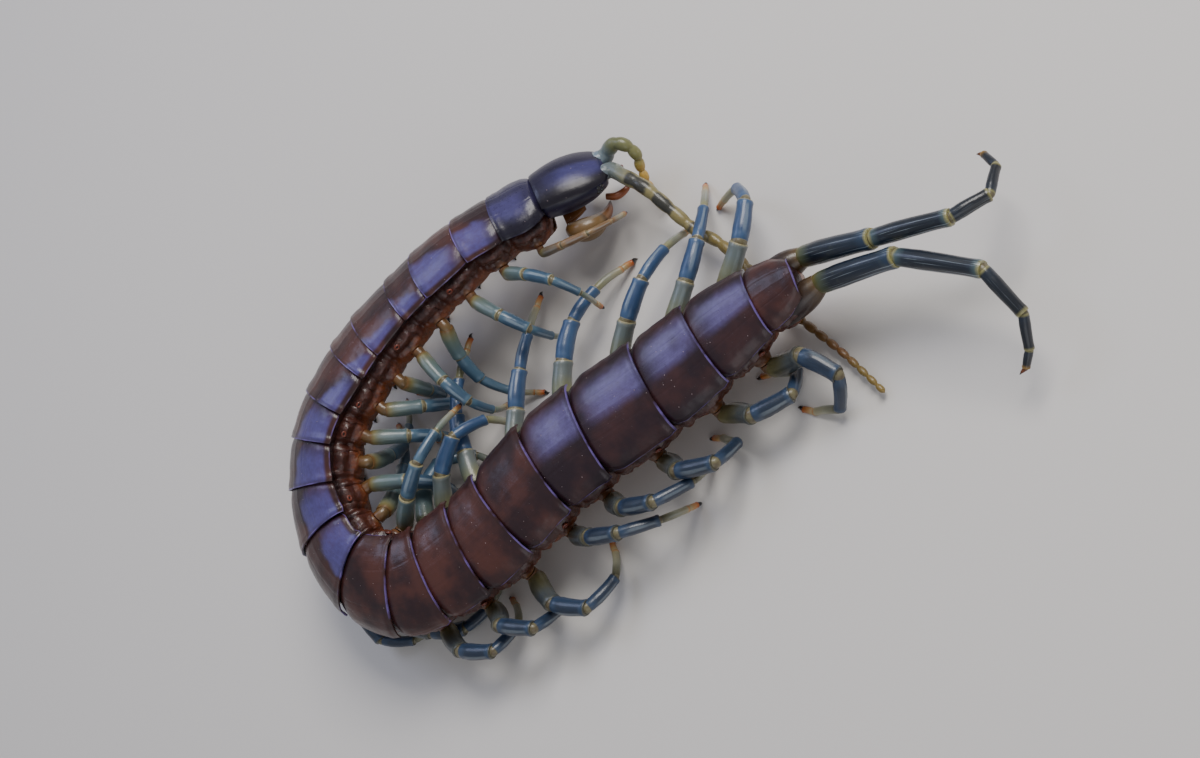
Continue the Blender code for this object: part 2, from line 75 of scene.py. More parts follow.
class Side(Enum):
    """The two sides of the animal, as seen from its own back."""

    LEFT = 1
    RIGHT = -1

    @property
    def label(self) -> str:
        """The side's name in the names of nodes and pieces."""
        return self.name.lower()


def tone(red: float, green: float, blue: float) -> Colour:
    """Turns a colour as a screen shows it into the shader's linear scale.

    Args:
        red: Screen value from 0 to 255.
        green: Screen value from 0 to 255.
        blue: Screen value from 0 to 255.

    Returns:
        The linear colour.
    """
    return tuple(
        ((value / 255 + 0.055) / 1.055) ** 2.4 if value > 10 else value / 3295 for value in (red, green, blue)
    )


def blend(stations: Stations, s: float) -> Any:
    """Reads the smooth curve through stations.

    Args:
        stations: Pairs of place and value, a number or a vector, in rising order of place.
        s: Where the curve is read. It runs on straight past either end.

    Returns:
        The value at s.
    """
    last = len(stations) - 1
    index = 0
    while index < last - 1 and s > stations[index + 1][0]:
        index += 1

    def slope(i: int) -> Any:
        """The straight slope from station i to the next."""
        return (stations[i + 1][1] - stations[i][1]) / (stations[i + 1][0] - stations[i][0])

    def tangent(i: int) -> Any:
        """The curve's slope at station i."""
        if i in (0, last):
            return slope(min(i, last - 1))
        before = stations[i][0] - stations[i - 1][0]
        after = stations[i + 1][0] - stations[i][0]
        return (slope(i - 1) * after + slope(i) * before) / (before + after)

    start, value = stations[index]
    end, following = stations[index + 1]
    span = end - start
    t = (s - start) / span
    if t > 1:
        return following + tangent(index + 1) * (s - end)
    if t < 0:
        return value + tangent(index) * (s - start)
    keep = 1 - t
    return (
        value * (1 + 2 * t) * keep * keep
        + tangent(index) * span * t * keep * keep
        + following * (3 - 2 * t) * t * t
        - tangent(index + 1) * span * t * t * keep
    )


def rise(value: float, low: float, high: float) -> float:
    """A smooth step from 0 at low to 1 at high."""
    t = min(max((value - low) / (high - low), 0.0), 1.0)
    return t * t * (3 - 2 * t)


def hump(value: float, centre: float, width: float) -> float:
    """A smooth bump of height 1 round a centre."""
    return math.exp(-(((value - centre) / width) ** 2))


def mirrored(around: float) -> tuple[int, float]:
    """The side, 1 or -1, and the share of the way from back to belly, at a share of the way round."""
    return (1, 2 * around) if around <= 0.5 else (-1, 2 * (1 - around))


def section_of(outline: Outline) -> Stations:
    """The points of half an outline, each with its share of the way round."""
    stations = chord_stations([Vector(point) for point in outline])
    return tuple((place / stations[-1][0], point) for place, point in stations)


def chord_stations(points: Sequence[Vector]) -> list[tuple[float, Vector]]:
    """Pairs of (distance run along the straight lines between the points, point)."""
    stations = [(0.0, points[0])]
    for before, point in zip(points, points[1:]):
        stations.append((stations[-1][0] + (point - before).length, point))
    return stations


class Route:
    """A smooth line through points, read by its true length."""

    SAMPLES = 600
    HEADING_STEP = 0.05

    def __init__(self, points: Sequence[Vector]) -> None:
        """Measures the line.

        Args:
            points: The points that it runs through.
        """
        self.stations = chord_stations(points)
        chord = self.stations[-1][0]
        self.lengths = [0.0]
        self.marks = [chord * i / self.SAMPLES for i in range(self.SAMPLES + 1)]
        for before, mark in zip(self.marks, self.marks[1:]):
            step = (blend(self.stations, mark) - blend(self.stations, before)).length
            self.lengths.append(self.lengths[-1] + step)

    @property
    def length(self) -> float:
        """The true length of the line."""
        return self.lengths[-1]

    def mark(self, s: float) -> float:
        """The chord distance that lies at true length s, which may run past either end."""
        if s <= 0:
            return s
        if s >= self.length:
            return self.marks[-1] + s - self.length
        low, high = 0, self.SAMPLES
        while high - low > 1:
            middle = (low + high) // 2
            low, high = (middle, high) if self.lengths[middle] <= s else (low, middle)
        share = (s - self.lengths[low]) / (self.lengths[high] - self.lengths[low])
        return self.marks[low] + share * (self.marks[high] - self.marks[low])

    def point(self, s: float) -> Vector:
        """The point at true length s."""
        return blend(self.stations, self.mark(s))

    def heading(self, s: float) -> Vector:
        """The direction of the line at true length s."""
        return (self.point(s + self.HEADING_STEP) - self.point(s - self.HEADING_STEP)).normalized()


class Frame:
    """A place on the body, with its directions to the rear, to the animal's left and to its back."""

    def __init__(self, centre: Vector, rear: Vector, roll: float) -> None:
        """Sets the three directions.

        Args:
            centre: The middle of the body there.
            rear: The direction toward the tail.
            roll: How far the back leans to the left, in degrees.
        """
        level_left = rear.cross(UP).normalized()
        level_up = level_left.cross(rear).normalized()
        turn = math.radians(roll)
        self.centre = centre
        self.rear = rear
        self.up = level_up * math.cos(turn) + level_left * math.sin(turn)
        self.left = level_left * math.cos(turn) - level_up * math.sin(turn)

    def at(self, left: float, up: float, rear: float = 0.0) -> Vector:
        """The point that far to the left, up and to the rear."""
        return self.centre + self.left * left + self.up * up + self.rear * rear


class Signal:
    """A shader socket that takes part in Python arithmetic."""

    def __init__(self, graph: "Graph", socket: bpy.types.NodeSocket) -> None:
        """Keeps the socket with the graph that its maths is added to."""
        self.graph = graph
        self.socket = socket

    def __add__(self, other: "Signal | float") -> "Signal":
        """Adds a Math node for a sum."""
        return self.graph.math("ADD", self, other)

    __radd__ = __add__

    def __sub__(self, other: "Signal | float") -> "Signal":
        """Adds a Math node for a difference."""
        return self.graph.math("SUBTRACT", self, other)

    def __rsub__(self, other: float) -> "Signal":
        """Adds a Math node for a number less this value."""
        return self.graph.math("SUBTRACT", other, self)

    def __mul__(self, other: "Signal | float") -> "Signal":
        """Adds a Math node for a product."""
        return self.graph.math("MULTIPLY", self, other)

    __rmul__ = __mul__

    def __abs__(self) -> "Signal":
        """Adds a Math node for the size of this value."""
        return self.graph.math("ABSOLUTE", self)


class Graph:
    """The shader nodes of one finish."""

    def __init__(self, name: str) -> None:
        """Starts a material with its Principled shader.

        Args:
            name: The finish's name.
        """
        self.material = bpy.data.materials.new(name)
        self.material.use_nodes = True
        self.tree = self.material.node_tree
        self.shader = self.tree.nodes["Principled BSDF"]

    def plug(self, socket: bpy.types.NodeSocket, value: Any) -> None:
        """Links a signal to a socket, or sets the socket to a plain value."""
        if isinstance(value, Signal):
            self.tree.links.new(value.socket, socket)
        elif socket.type == "RGBA":
            socket.default_value = (*value[:3], 1.0)
        else:
            socket.default_value = value

    def node(self, kind: str, settings: dict[str, Any], inputs: dict[str | int, Any]) -> bpy.types.Node:
        """Adds a node.

        Args:
            kind: Blender's name for the type of node.
            settings: Its properties, with the stops of a ramp as pairs of place and colour.
            inputs: The value or signal of each socket, by name or place.

        Returns:
            The node.
        """
        made = self.tree.nodes.new(kind)
        for key, value in settings.items():
            if key == "stops":
                elements = made.color_ramp.elements
                while len(elements) < len(value):
                    elements.new(1.0)
                for element, (place, colour) in zip(elements, value):
                    element.position = place
                    element.color = (*colour, 1.0)
            else:
                setattr(made, key, value)
        for key, value in inputs.items():
            self.plug(made.inputs[key], value)
        return made

    def value(
        self, kind: str, settings: dict[str, Any], inputs: dict[str | int, Any], output: str | int = 0
    ) -> Signal:
        """Adds a node and gives one of its outputs."""
        return Signal(self, self.node(kind, settings, inputs).outputs[output])

    def math(self, operation: str, *values: Signal | float) -> Signal:
        """The result of a Math node on values."""
        return self.value("ShaderNodeMath", {"operation": operation}, dict(enumerate(values)))

    def mix(self, share: Signal | float, base: Any, other: Any) -> Signal:
        """The colour that lies a share of the way from base to other."""
        return self.value("ShaderNodeMix", {"data_type": "RGBA"}, {0: share, 6: base, 7: other}, 2)

    def ramp(self, value: Signal, stops: Sequence[tuple[float, Colour]]) -> Signal:
        """The colour that a row of stops gives for a value from 0 to 1."""
        return self.value("ShaderNodeValToRGB", {"stops": stops}, {0: value})

    def step(self, value: Signal, low: float, high: float) -> Signal:
        """A smooth step from 0 at low to 1 at high."""
        inputs = {"Value": value, "From Min": low, "From Max": high}
        return self.value("ShaderNodeMapRange", {"interpolation_type": "SMOOTHSTEP"}, inputs)

    def place(self) -> Signal:
        """Object coordinates in millimetres."""
        source = self.value("ShaderNodeTexCoord", {}, {}, "Object")
        return self.value("ShaderNodeMapping", {}, {"Vector": source, "Scale": (1 / MM, 1 / MM, 1 / MM)})

    def own_map(self) -> Signal:
        """The piece's own map."""
        return self.value("ShaderNodeUVMap", {"uv_map": ROUTE_LAYER}, {})

    def route(self) -> tuple[Signal, Signal]:
        """The two coordinates of the piece's own map: along it, and round or across it."""
        made = self.node("ShaderNodeSeparateXYZ", {}, {0: self.own_map()})
        return Signal(self, made.outputs[0]), Signal(self, made.outputs[1])

    def streaks(self, along: float, across: float, detail: float = 3.0) -> Signal:
        """Noise drawn out along the piece, with so many cells along and across it."""
        moved = self.value("ShaderNodeMapping", {}, {"Vector": self.own_map(), "Scale": (along, across, 1)})
        return self.noise(moved, 1.0, detail)

    def noise(self, place: Signal, scale: float, detail: float = 3.0, roughness: float = 0.55) -> Signal:
        """Noise at a number of cells a millimetre."""
        inputs = {"Vector": place, "Scale": scale, "Detail": detail, "Roughness": roughness}
        return self.value("ShaderNodeTexNoise", {}, inputs)

    def dots(self, place: Signal, scale: float, small: float, large: float) -> Signal:
        """Round dots that are 1 inside the small radius and 0 outside the large one, in cells."""
        distance = self.value("ShaderNodeTexVoronoi", {}, {"Vector": place, "Scale": scale}, "Distance")
        return 1 - self.step(distance, small, large)

    def finish(self, colour: Any, roughness: Any, height: Signal | None, depth: float, **fixed: Any) -> None:
        """Wires the shader.

        Args:
            colour: Base colour, a signal or a plain one.
            roughness: Roughness, a signal or a number.
            height: The relief, or None for a smooth surface.
            depth: The relief's height in millimetres.
            fixed: Numbers and colours that are the same all over, by the socket's name with _ for a space.
        """
        self.plug(self.shader.inputs["Base Color"], colour)
        self.plug(self.shader.inputs["Roughness"], roughness)
        if height is not None:
            inputs = {"Strength": 1.0, "Distance": depth * MM, "Height": height}
            self.plug(self.shader.inputs["Normal"], self.value("ShaderNodeBump", {}, inputs))
        for name, value in fixed.items():
            self.plug(self.shader.inputs[name.replace("_", " ")], value)


def flesh(share: float, reach: Colour) -> dict[str, Any]:
    """The fixed values of a finish that lets light into it, with how far each colour reaches."""
    return {"Subsurface_Weight": share, "Subsurface_Radius": reach, "Subsurface_Scale": MM}


def banded(end: Colour, low: float, first: Colour, high: float, second: Colour) -> Stops:
    """One colour at both ends of a limb's joint, and two others that start at low and end at high."""
    return ((0.0, end), (low, first), (high, second), (1.0, end))


class Finish(Protocol):
    """Anything that makes a material."""

    def material(self) -> bpy.types.Material:
        """Makes the material."""


@dataclass(frozen=True)
class PlateFinish:
    """Polished shell: dark brown with pits, fine lines along the body, a violet sheen and a pale rim. The sheen
    is a painted reflection, partly the shell's own iridescence; the rim is partly its own colour and partly a
    painted highlight.
    """

    name: str
    deep: Colour = tone(42, 23, 19)
    warm: Colour = tone(78, 43, 31)
    bloom: Colour = tone(84, 78, 138)
    rim: Colour = tone(124, 104, 176)
    speck: Colour = tone(190, 168, 168)
    gloss: float = 0.25
    bloom_right: float = 0.0
    facet: float = 0.2
    shade_right: float = 0.0
    bloom_middle: float = 0.0
    bloom_all: float = 0.03
    rim_share: float = 0.65
    coat: float = 0.15

    def material(self) -> bpy.types.Material:
        """Makes the material."""
        graph = Graph(self.name)
        along, across = graph.route()
        place = graph.place()
        cloud = graph.noise(place, 0.32, 3)
        grain = graph.noise(place, 3.0, 4)
        lines = graph.streaks(1.6, 70, 2)
        pits = graph.dots(place, 2.6, 0.05, 0.15) * graph.step(graph.noise(place, 0.9, 1), 0.5, 0.6)
        specks = graph.dots(place, 1.9, 0.04, 0.08) * graph.step(graph.noise(place, 0.7, 1), 0.48, 0.52)
        edge = abs(across - 0.5) * 2
        rim_and_highlight_patches = graph.step(graph.noise(place, 0.55, 2), 0.4, 0.62)
        rear = graph.step(along, 0.978, 0.986)
        side = graph.step(edge, 0.98, 0.99)
        fade = (cloud - 0.5) * 0.2
        # Violet sheen painted into the colour at fixed places: the facet on the right, the middle of the plate
        # and a little all over. It stands in for light reflected off the shell, partly its iridescence.
        slant = across + fade * 2 - along * 0.18
        facet = graph.step(across, 0.03, 0.06) * (1 - graph.step(slant, self.facet - 0.06, self.facet + 0.04))
        facet = facet * graph.step(along + fade * 2, 0.02, 0.5)
        middle = graph.step(across + fade, 0.1, 0.3) * (1 - graph.step(across + fade * 0.3, 0.47, 0.6))
        middle = middle * graph.step(along + fade, 0.05, 0.5)
        middle = middle * graph.step(graph.noise(place, 0.25, 2), 0.12, 0.4)
        bloom = facet * self.bloom_right + middle * self.bloom_middle + self.bloom_all
        bloom = graph.math("MINIMUM", bloom * (0.35 + grain * 0.7 + lines * 0.4), 1.0)
        colour = graph.mix(graph.step(cloud, 0.35, 0.68), self.deep, self.warm)
        colour = graph.mix(bloom, colour, self.bloom)
        colour = graph.mix((1 - graph.step(across + fade, 0.1, 0.3)) * self.shade_right, colour, self.deep)
        colour = graph.mix(graph.step(along, 0.9, 0.98) * 0.4, colour, self.deep)
        # Rims along the rear and side edges, in patches: partly the margin's own lavender tone, partly a
        # painted highlight where light catches the raised rim.
        rims = graph.math("MAXIMUM", rear * rim_and_highlight_patches, side * rim_and_highlight_patches * 0.8)
        colour = graph.mix(rims * self.rim_share, colour, self.rim)
        colour = graph.mix(specks * 0.8, colour, self.speck)
        roughness = self.gloss + grain * 0.14 + pits * 0.2 + specks * 0.3
        relief = grain * 0.35 + lines * 0.4 - pits * 0.9 + specks * 0.8
        graph.finish(
            colour, roughness, relief, 0.03, Coat_Weight=self.coat, Coat_Roughness=0.2, Specular_IOR_Level=0.4
        )
        return graph.material


@dataclass(frozen=True)
class SkinFinish:
    """Wet wrinkled hide between the plates, dark above and translucent orange under the legs, with painted
    shade in its creases and painted glints on its folds.
    """

    name: str = "flank_skin"
    dark: Colour = tone(38, 19, 20)
    brown: Colour = tone(72, 34, 24)
    orange: Colour = tone(132, 68, 30)
    belly: Colour = tone(126, 88, 56)
    glint: Colour = tone(112, 84, 110)

    def material(self) -> bpy.types.Material:
        """Makes the material."""
        graph = Graph(self.name)
        _, around = graph.route()
        place = graph.place()
        low = 1 - abs(around - 0.5) * 2
        wave = (graph.noise(place, 0.9, 3) - 0.5) * 0.22
        wrinkles = graph.noise(place, 1.6, 5, 0.62)
        fine = graph.noise(place, 5.0, 3)
        colour = graph.ramp(
            low + wave,
            (
                (0.42, self.dark),
                (0.5, self.brown),
                (0.56, self.brown),
                (0.66, self.orange),
                (0.9, self.belly),
            ),
        )
        # Painted shade in the troughs of the wrinkles, then painted glints on their crests.
        colour = graph.mix(graph.step(wrinkles, 0.42, 0.28) * 0.7, colour, self.dark)
        colour = graph.mix(graph.step(wrinkles, 0.6, 0.74) * 0.18, colour, self.glint)
        graph.finish(
            colour,
            0.28 + fine * 0.2,
            wrinkles + fine * 0.2,
            0.14,
            Coat_Weight=0.35,
            Coat_Roughness=0.16,
            **flesh(0.1, (0.9, 0.35, 0.15)),
        )
        return graph.material


@dataclass(frozen=True)
class LimbFinish:
    """A joint of a limb: colours in turn along it, darker on top, a painted highlight line along its top,
    painted pale highlight streaks where asked, and a wet gloss.
    """

    name: str
    stops: Stops
    top: Colour
    top_share: float = 0.5
    gloss: float = 0.3
    mottling: float = 0.04
    silver: float = 0.0
    silver_tone: Colour = tone(176, 190, 198)
    streaked: float = 0.0

    def material(self) -> bpy.types.Material:
        """Makes the material."""
        graph = Graph(self.name)
        along, around = graph.route()
        place = graph.place()
        blotches = graph.noise(place, 1.3, 3)
        grain = graph.noise(place, 6.0, 3)
        lines = graph.streaks(2.0, 26, 2)
        colour = graph.ramp(along + (blotches - 0.5) * self.mottling, self.stops)
        high = abs(around - 0.5) * 2
        upper = graph.step(high + (lines - 0.5) * 0.5, 0.35, 0.75)
        middle = graph.step(along, 0.1, 0.3) * (1 - graph.step(along, 0.82, 0.95))
        colour = graph.mix(upper * middle * self.top_share, colour, self.top)
        colour = graph.mix(graph.step(blotches, 0.58, 0.7) * 0.15, colour, self.stops[1][1])
        # Painted highlight: a pale line along the top of the joint, where gloss catches the light.
        if self.silver:
            line = graph.step(high + (lines - 0.5) * 0.12, 0.9, 0.97) * middle
            colour = graph.mix(line * (0.5 + grain * 0.6) * self.silver, colour, self.silver_tone)
        # Painted highlight streaks: pale lines along the limb that stand in for gloss.
        if self.streaked:
            pale = graph.step(graph.streaks(0.7, 34, 3), 0.55, 0.66) * graph.step(along, 0.1, 0.2)
            colour = graph.mix(pale * self.streaked, colour, self.silver_tone)
        graph.finish(
            colour,
            self.gloss + grain * 0.12,
            grain * 0.4 + lines * 0.6,
            0.025,
            Coat_Weight=0.3,
            Coat_Roughness=0.16,
            **flesh(0.15, (0.6, 0.45, 0.3)),
        )
        return graph.material


@dataclass(frozen=True)
class AntennaFinish:
    """A feeler: colours in turn along it, with dark patches on top of its first beads and pale flecks painted
    as glints.
    """

    name: str
    stops: Stops = (
        (0.0, tone(92, 104, 112)),
        (0.045, tone(104, 110, 100)),
        (0.08, tone(134, 126, 84)),
        (0.3, tone(128, 114, 66)),
        (0.55, tone(120, 96, 52)),
        (0.8, tone(112, 76, 40)),
        (0.88, tone(118, 98, 48)),
        (1.0, tone(130, 108, 52)),
    )
    patches: tuple[tuple[float, float], ...] = ((0.065, 0.125), (0.135, 0.195), (0.235, 0.25), (0.288, 0.298))
    patch: Colour = tone(24, 28, 34)
    pale: Colour = tone(190, 194, 190)

    def material(self) -> bpy.types.Material:
        """Makes the material."""
        graph = Graph(self.name)
        along, around = graph.route()
        place = graph.place()
        blotches = graph.noise(place, 1.6, 3)
        grain = graph.noise(place, 6.0, 3)
        moved = along + (blotches - 0.5) * 0.012
        colour = graph.ramp(along + (blotches - 0.5) * 0.05, self.stops)
        # Pale flecks all along, and pale blotches near the root below, are painted glints.
        colour = graph.mix(graph.step(grain, 0.58, 0.78) * 0.2, colour, self.pale)
        upper = graph.step(abs(around - 0.5) * 2 + (blotches - 0.5) * 0.5, 0.6, 0.75)
        for start, end in self.patches:
            inside = graph.step(moved, start, start + 0.008) * (1 - graph.step(moved, end - 0.008, end))
            colour = graph.mix(inside * upper * 0.9, colour, self.patch)
        root = 1 - graph.step(moved, 0.03, 0.05)
        colour = graph.mix(root * graph.step(blotches, 0.54, 0.64) * 0.4, colour, self.pale)
        graph.finish(
            colour,
            0.32 + grain * 0.12,
            grain,
            0.025,
            Coat_Weight=0.3,
            Coat_Roughness=0.15,
            **flesh(0.2, (0.6, 0.45, 0.25)),
        )
        return graph.material


@dataclass(frozen=True)
class HornFinish:
    """Plain horn for claws, spines and eyes, with a slight grain."""

    name: str
    colour: Colour
    other: Colour
    gloss: float = 0.18
    coat: float = 0.5

    def material(self) -> bpy.types.Material:
        """Makes the material."""
        graph = Graph(self.name)
        place = graph.place()
        cloud = graph.noise(place, 2.0, 3)
        grain = graph.noise(place, 8.0, 3)
        colour = graph.mix(graph.step(cloud, 0.35, 0.7), self.colour, self.other)
        roughness = self.gloss + grain * 0.1
        graph.finish(colour, roughness, grain, 0.015, Coat_Weight=self.coat, Coat_Roughness=0.08)
        return graph.material


@dataclass(frozen=True)
class FloorFinish:
    """The plain pale floor."""

    name: str = "studio_floor"
    colour: Colour = tone(216, 212, 208)

    def material(self) -> bpy.types.Material:
        """Makes the material."""
        graph = Graph(self.name)
        graph.finish(self.colour, 0.75, None, 0.0)
        return graph.material


STRAW = tone(160, 150, 110)
OLIVE = tone(118, 112, 74)
STEEL = tone(58, 86, 122)
DEEP_BLUE = tone(36, 62, 100)
AMBER = tone(190, 120, 50)
RUST = tone(128, 58, 24)
NIGHT = tone(22, 30, 44)
BLACK = tone(14, 10, 10)


class LegLook(Enum):
    """How a walking leg is coloured: the pale first one, those of the bend, the hind ones, and the far ones on
    the left, darkened as painted shade.
    """

    PALE = "pale"
    BEND = "bend"
    HIND = "hind"
    FAR = "far"

    @staticmethod
    def of(side: Side, number: int) -> "LegLook":
        """The look of a leg, counting from 1."""
        if side is Side.LEFT:
            return LegLook.FAR
        if number == 1:
            return LegLook.PALE
        return LegLook.BEND if number < 14 else LegLook.HIND

    @property
    def tones(self) -> tuple[Colour, Colour, Colour, Colour, float]:
        """Its prefemur, its blue, the darker blue on top, its soft joints, and its share of painted top
        highlight.
        """
        return {
            LegLook.PALE: (tone(120, 88, 58), tone(138, 112, 80), tone(108, 80, 54), tone(150, 130, 98), 0.3),
            LegLook.BEND: (tone(98, 114, 104), tone(72, 100, 120), tone(44, 70, 96), STRAW, 0.4),
            LegLook.HIND: (tone(130, 130, 96), STEEL, DEEP_BLUE, STRAW, 0.35),
            # The far legs' darker tones are painted shade.
            LegLook.FAR: (tone(84, 82, 58), tone(44, 62, 86), NIGHT, tone(72, 72, 60), 0.25),
        }[self]

    @property
    def finishes(self) -> tuple[LimbFinish, ...]:
        """The finishes of the five joints in turn."""
        root, blue, deep, soft, silver = self.tones
        middle = tuple((low + high) / 2 for low, high in zip(root, blue))
        kind = self.value
        return (
            LimbFinish(
                f"{kind}_prefemur",
                (
                    (0.0, tone(110, 78, 42)),
                    (0.12, OLIVE),
                    (0.4, root),
                    (0.72, middle),
                    (0.96, middle),
                    (1.0, soft),
                ),
                tone(84, 98, 98) if self is not LegLook.FAR else NIGHT,
                0.45,
                silver=silver * 0.6,
            ),
            LimbFinish(f"{kind}_femur", banded(soft, 0.025, blue, 0.965, blue), deep, 0.7, silver=silver),
            LimbFinish(f"{kind}_tibia", banded(soft, 0.03, blue, 0.96, blue), deep, 0.6, silver=silver),
            LimbFinish(
                f"{kind}_first_tarsus",
                (
                    (0.0, soft),
                    (0.05, root),
                    (0.5, tone(150, 150, 128)),
                    (0.9, tone(166, 158, 126)),
                    (1.0, AMBER),
                ),
                deep,
                0.25,
                silver=silver * 0.6,
            ),
            LimbFinish(
                f"{kind}_second_tarsus",
                (
                    (0.0, tone(172, 160, 124)),
                    (0.4, tone(176, 138, 88)),
                    (0.85, tone(180, 92, 34)),
                    (1.0, RUST),
                ),
                AMBER,
                0.25,
            ),
        )

    @property
    def girth(self) -> float:
        """How thick it is against the others."""
        return 0.72 if self is LegLook.PALE else 1.0


class PlateLook(Enum):
    """How a plate of the back is coloured: the first, wide ones, those of the bend, plain and hind ones. They
    differ in where the painted violet sheen lies, and the hind ones are darker as painted shade.
    """

    FRONT = PlateFinish(
        "front_shell",
        deep=tone(24, 20, 30),
        warm=tone(36, 32, 46),
        bloom_all=0.2,
        bloom_middle=0.35,
        shade_right=0.85,
        rim_share=0.1,
        gloss=0.22,
    )
    WIDE = PlateFinish("wide_shell", bloom_right=0.85, facet=0.3)
    BEND = PlateFinish("bend_shell", bloom_right=0.85, facet=0.07)
    # The hind plates' darker tones are painted shade, and their violet sheen is a painted reflection.
    HIND = PlateFinish(
        "hind_shell", deep=tone(34, 19, 21), warm=tone(60, 34, 30), bloom=tone(94, 85, 134), bloom_middle=0.85
    )
    PLAIN = PlateFinish("plain_shell")

    @staticmethod
    def of(number: int) -> "PlateLook":
        """The look of a plate, counting from 1."""
        if number == 1:
            return PlateLook.FRONT
        if number < 12:
            return PlateLook.BEND if 4 <= number < 8 else PlateLook.WIDE
        return PlateLook.HIND if 17 <= number < 21 else PlateLook.PLAIN


# The head's shell, with a painted violet sheen on top and painted shade on its lower side.
HEAD_PLATE = PlateFinish(
    "head_shell",
    deep=tone(22, 17, 24),
    warm=tone(34, 28, 42),
    shade_right=0.85,
    bloom=tone(72, 70, 130),
    bloom_all=0.12,
    bloom_middle=0.5,
    rim=tone(110, 104, 130),
    rim_share=0.1,
    gloss=0.24,
    coat=0.1,
)
STERNITE = PlateFinish(
    "sternite_shell",
    deep=tone(96, 60, 34),
    warm=tone(140, 92, 48),
    bloom=tone(120, 92, 66),
    rim=tone(170, 130, 84),
)
SKIN = SkinFinish()
COXA = LimbFinish(
    "coxa",
    ((0.0, tone(60, 32, 24)), (0.6, tone(92, 52, 28)), (1.0, tone(110, 70, 36))),
    tone(58, 32, 26),
    0.4,
)
TROCHANTER = LimbFinish(
    "trochanter", ((0.0, tone(104, 66, 36)), (1.0, tone(108, 90, 54))), tone(80, 58, 38), 0.4
)
COXOPLEURA = LimbFinish(
    "coxopleura",
    ((0.0, tone(38, 22, 20)), (0.6, tone(48, 28, 22)), (1.0, tone(84, 64, 34))),
    tone(34, 21, 20),
    0.5,
)
MEMBRANE = HornFinish("joint_membrane", tone(112, 106, 78), tone(84, 72, 50), 0.35, 0.2)
CLAW = HornFinish("claw_horn", BLACK, tone(40, 22, 14))
EYE = HornFinish("eye_dome", tone(12, 12, 16), tone(24, 22, 28), 0.08, 0.8)
SPIRACLE = HornFinish("spiracle_rim", tone(112, 46, 24), tone(78, 30, 18), 0.3, 0.4)
# The black pore is painted shade for the inside of the breathing hole.
PORE = HornFinish("spiracle_pore", BLACK, tone(30, 14, 12), 0.5, 0.0)


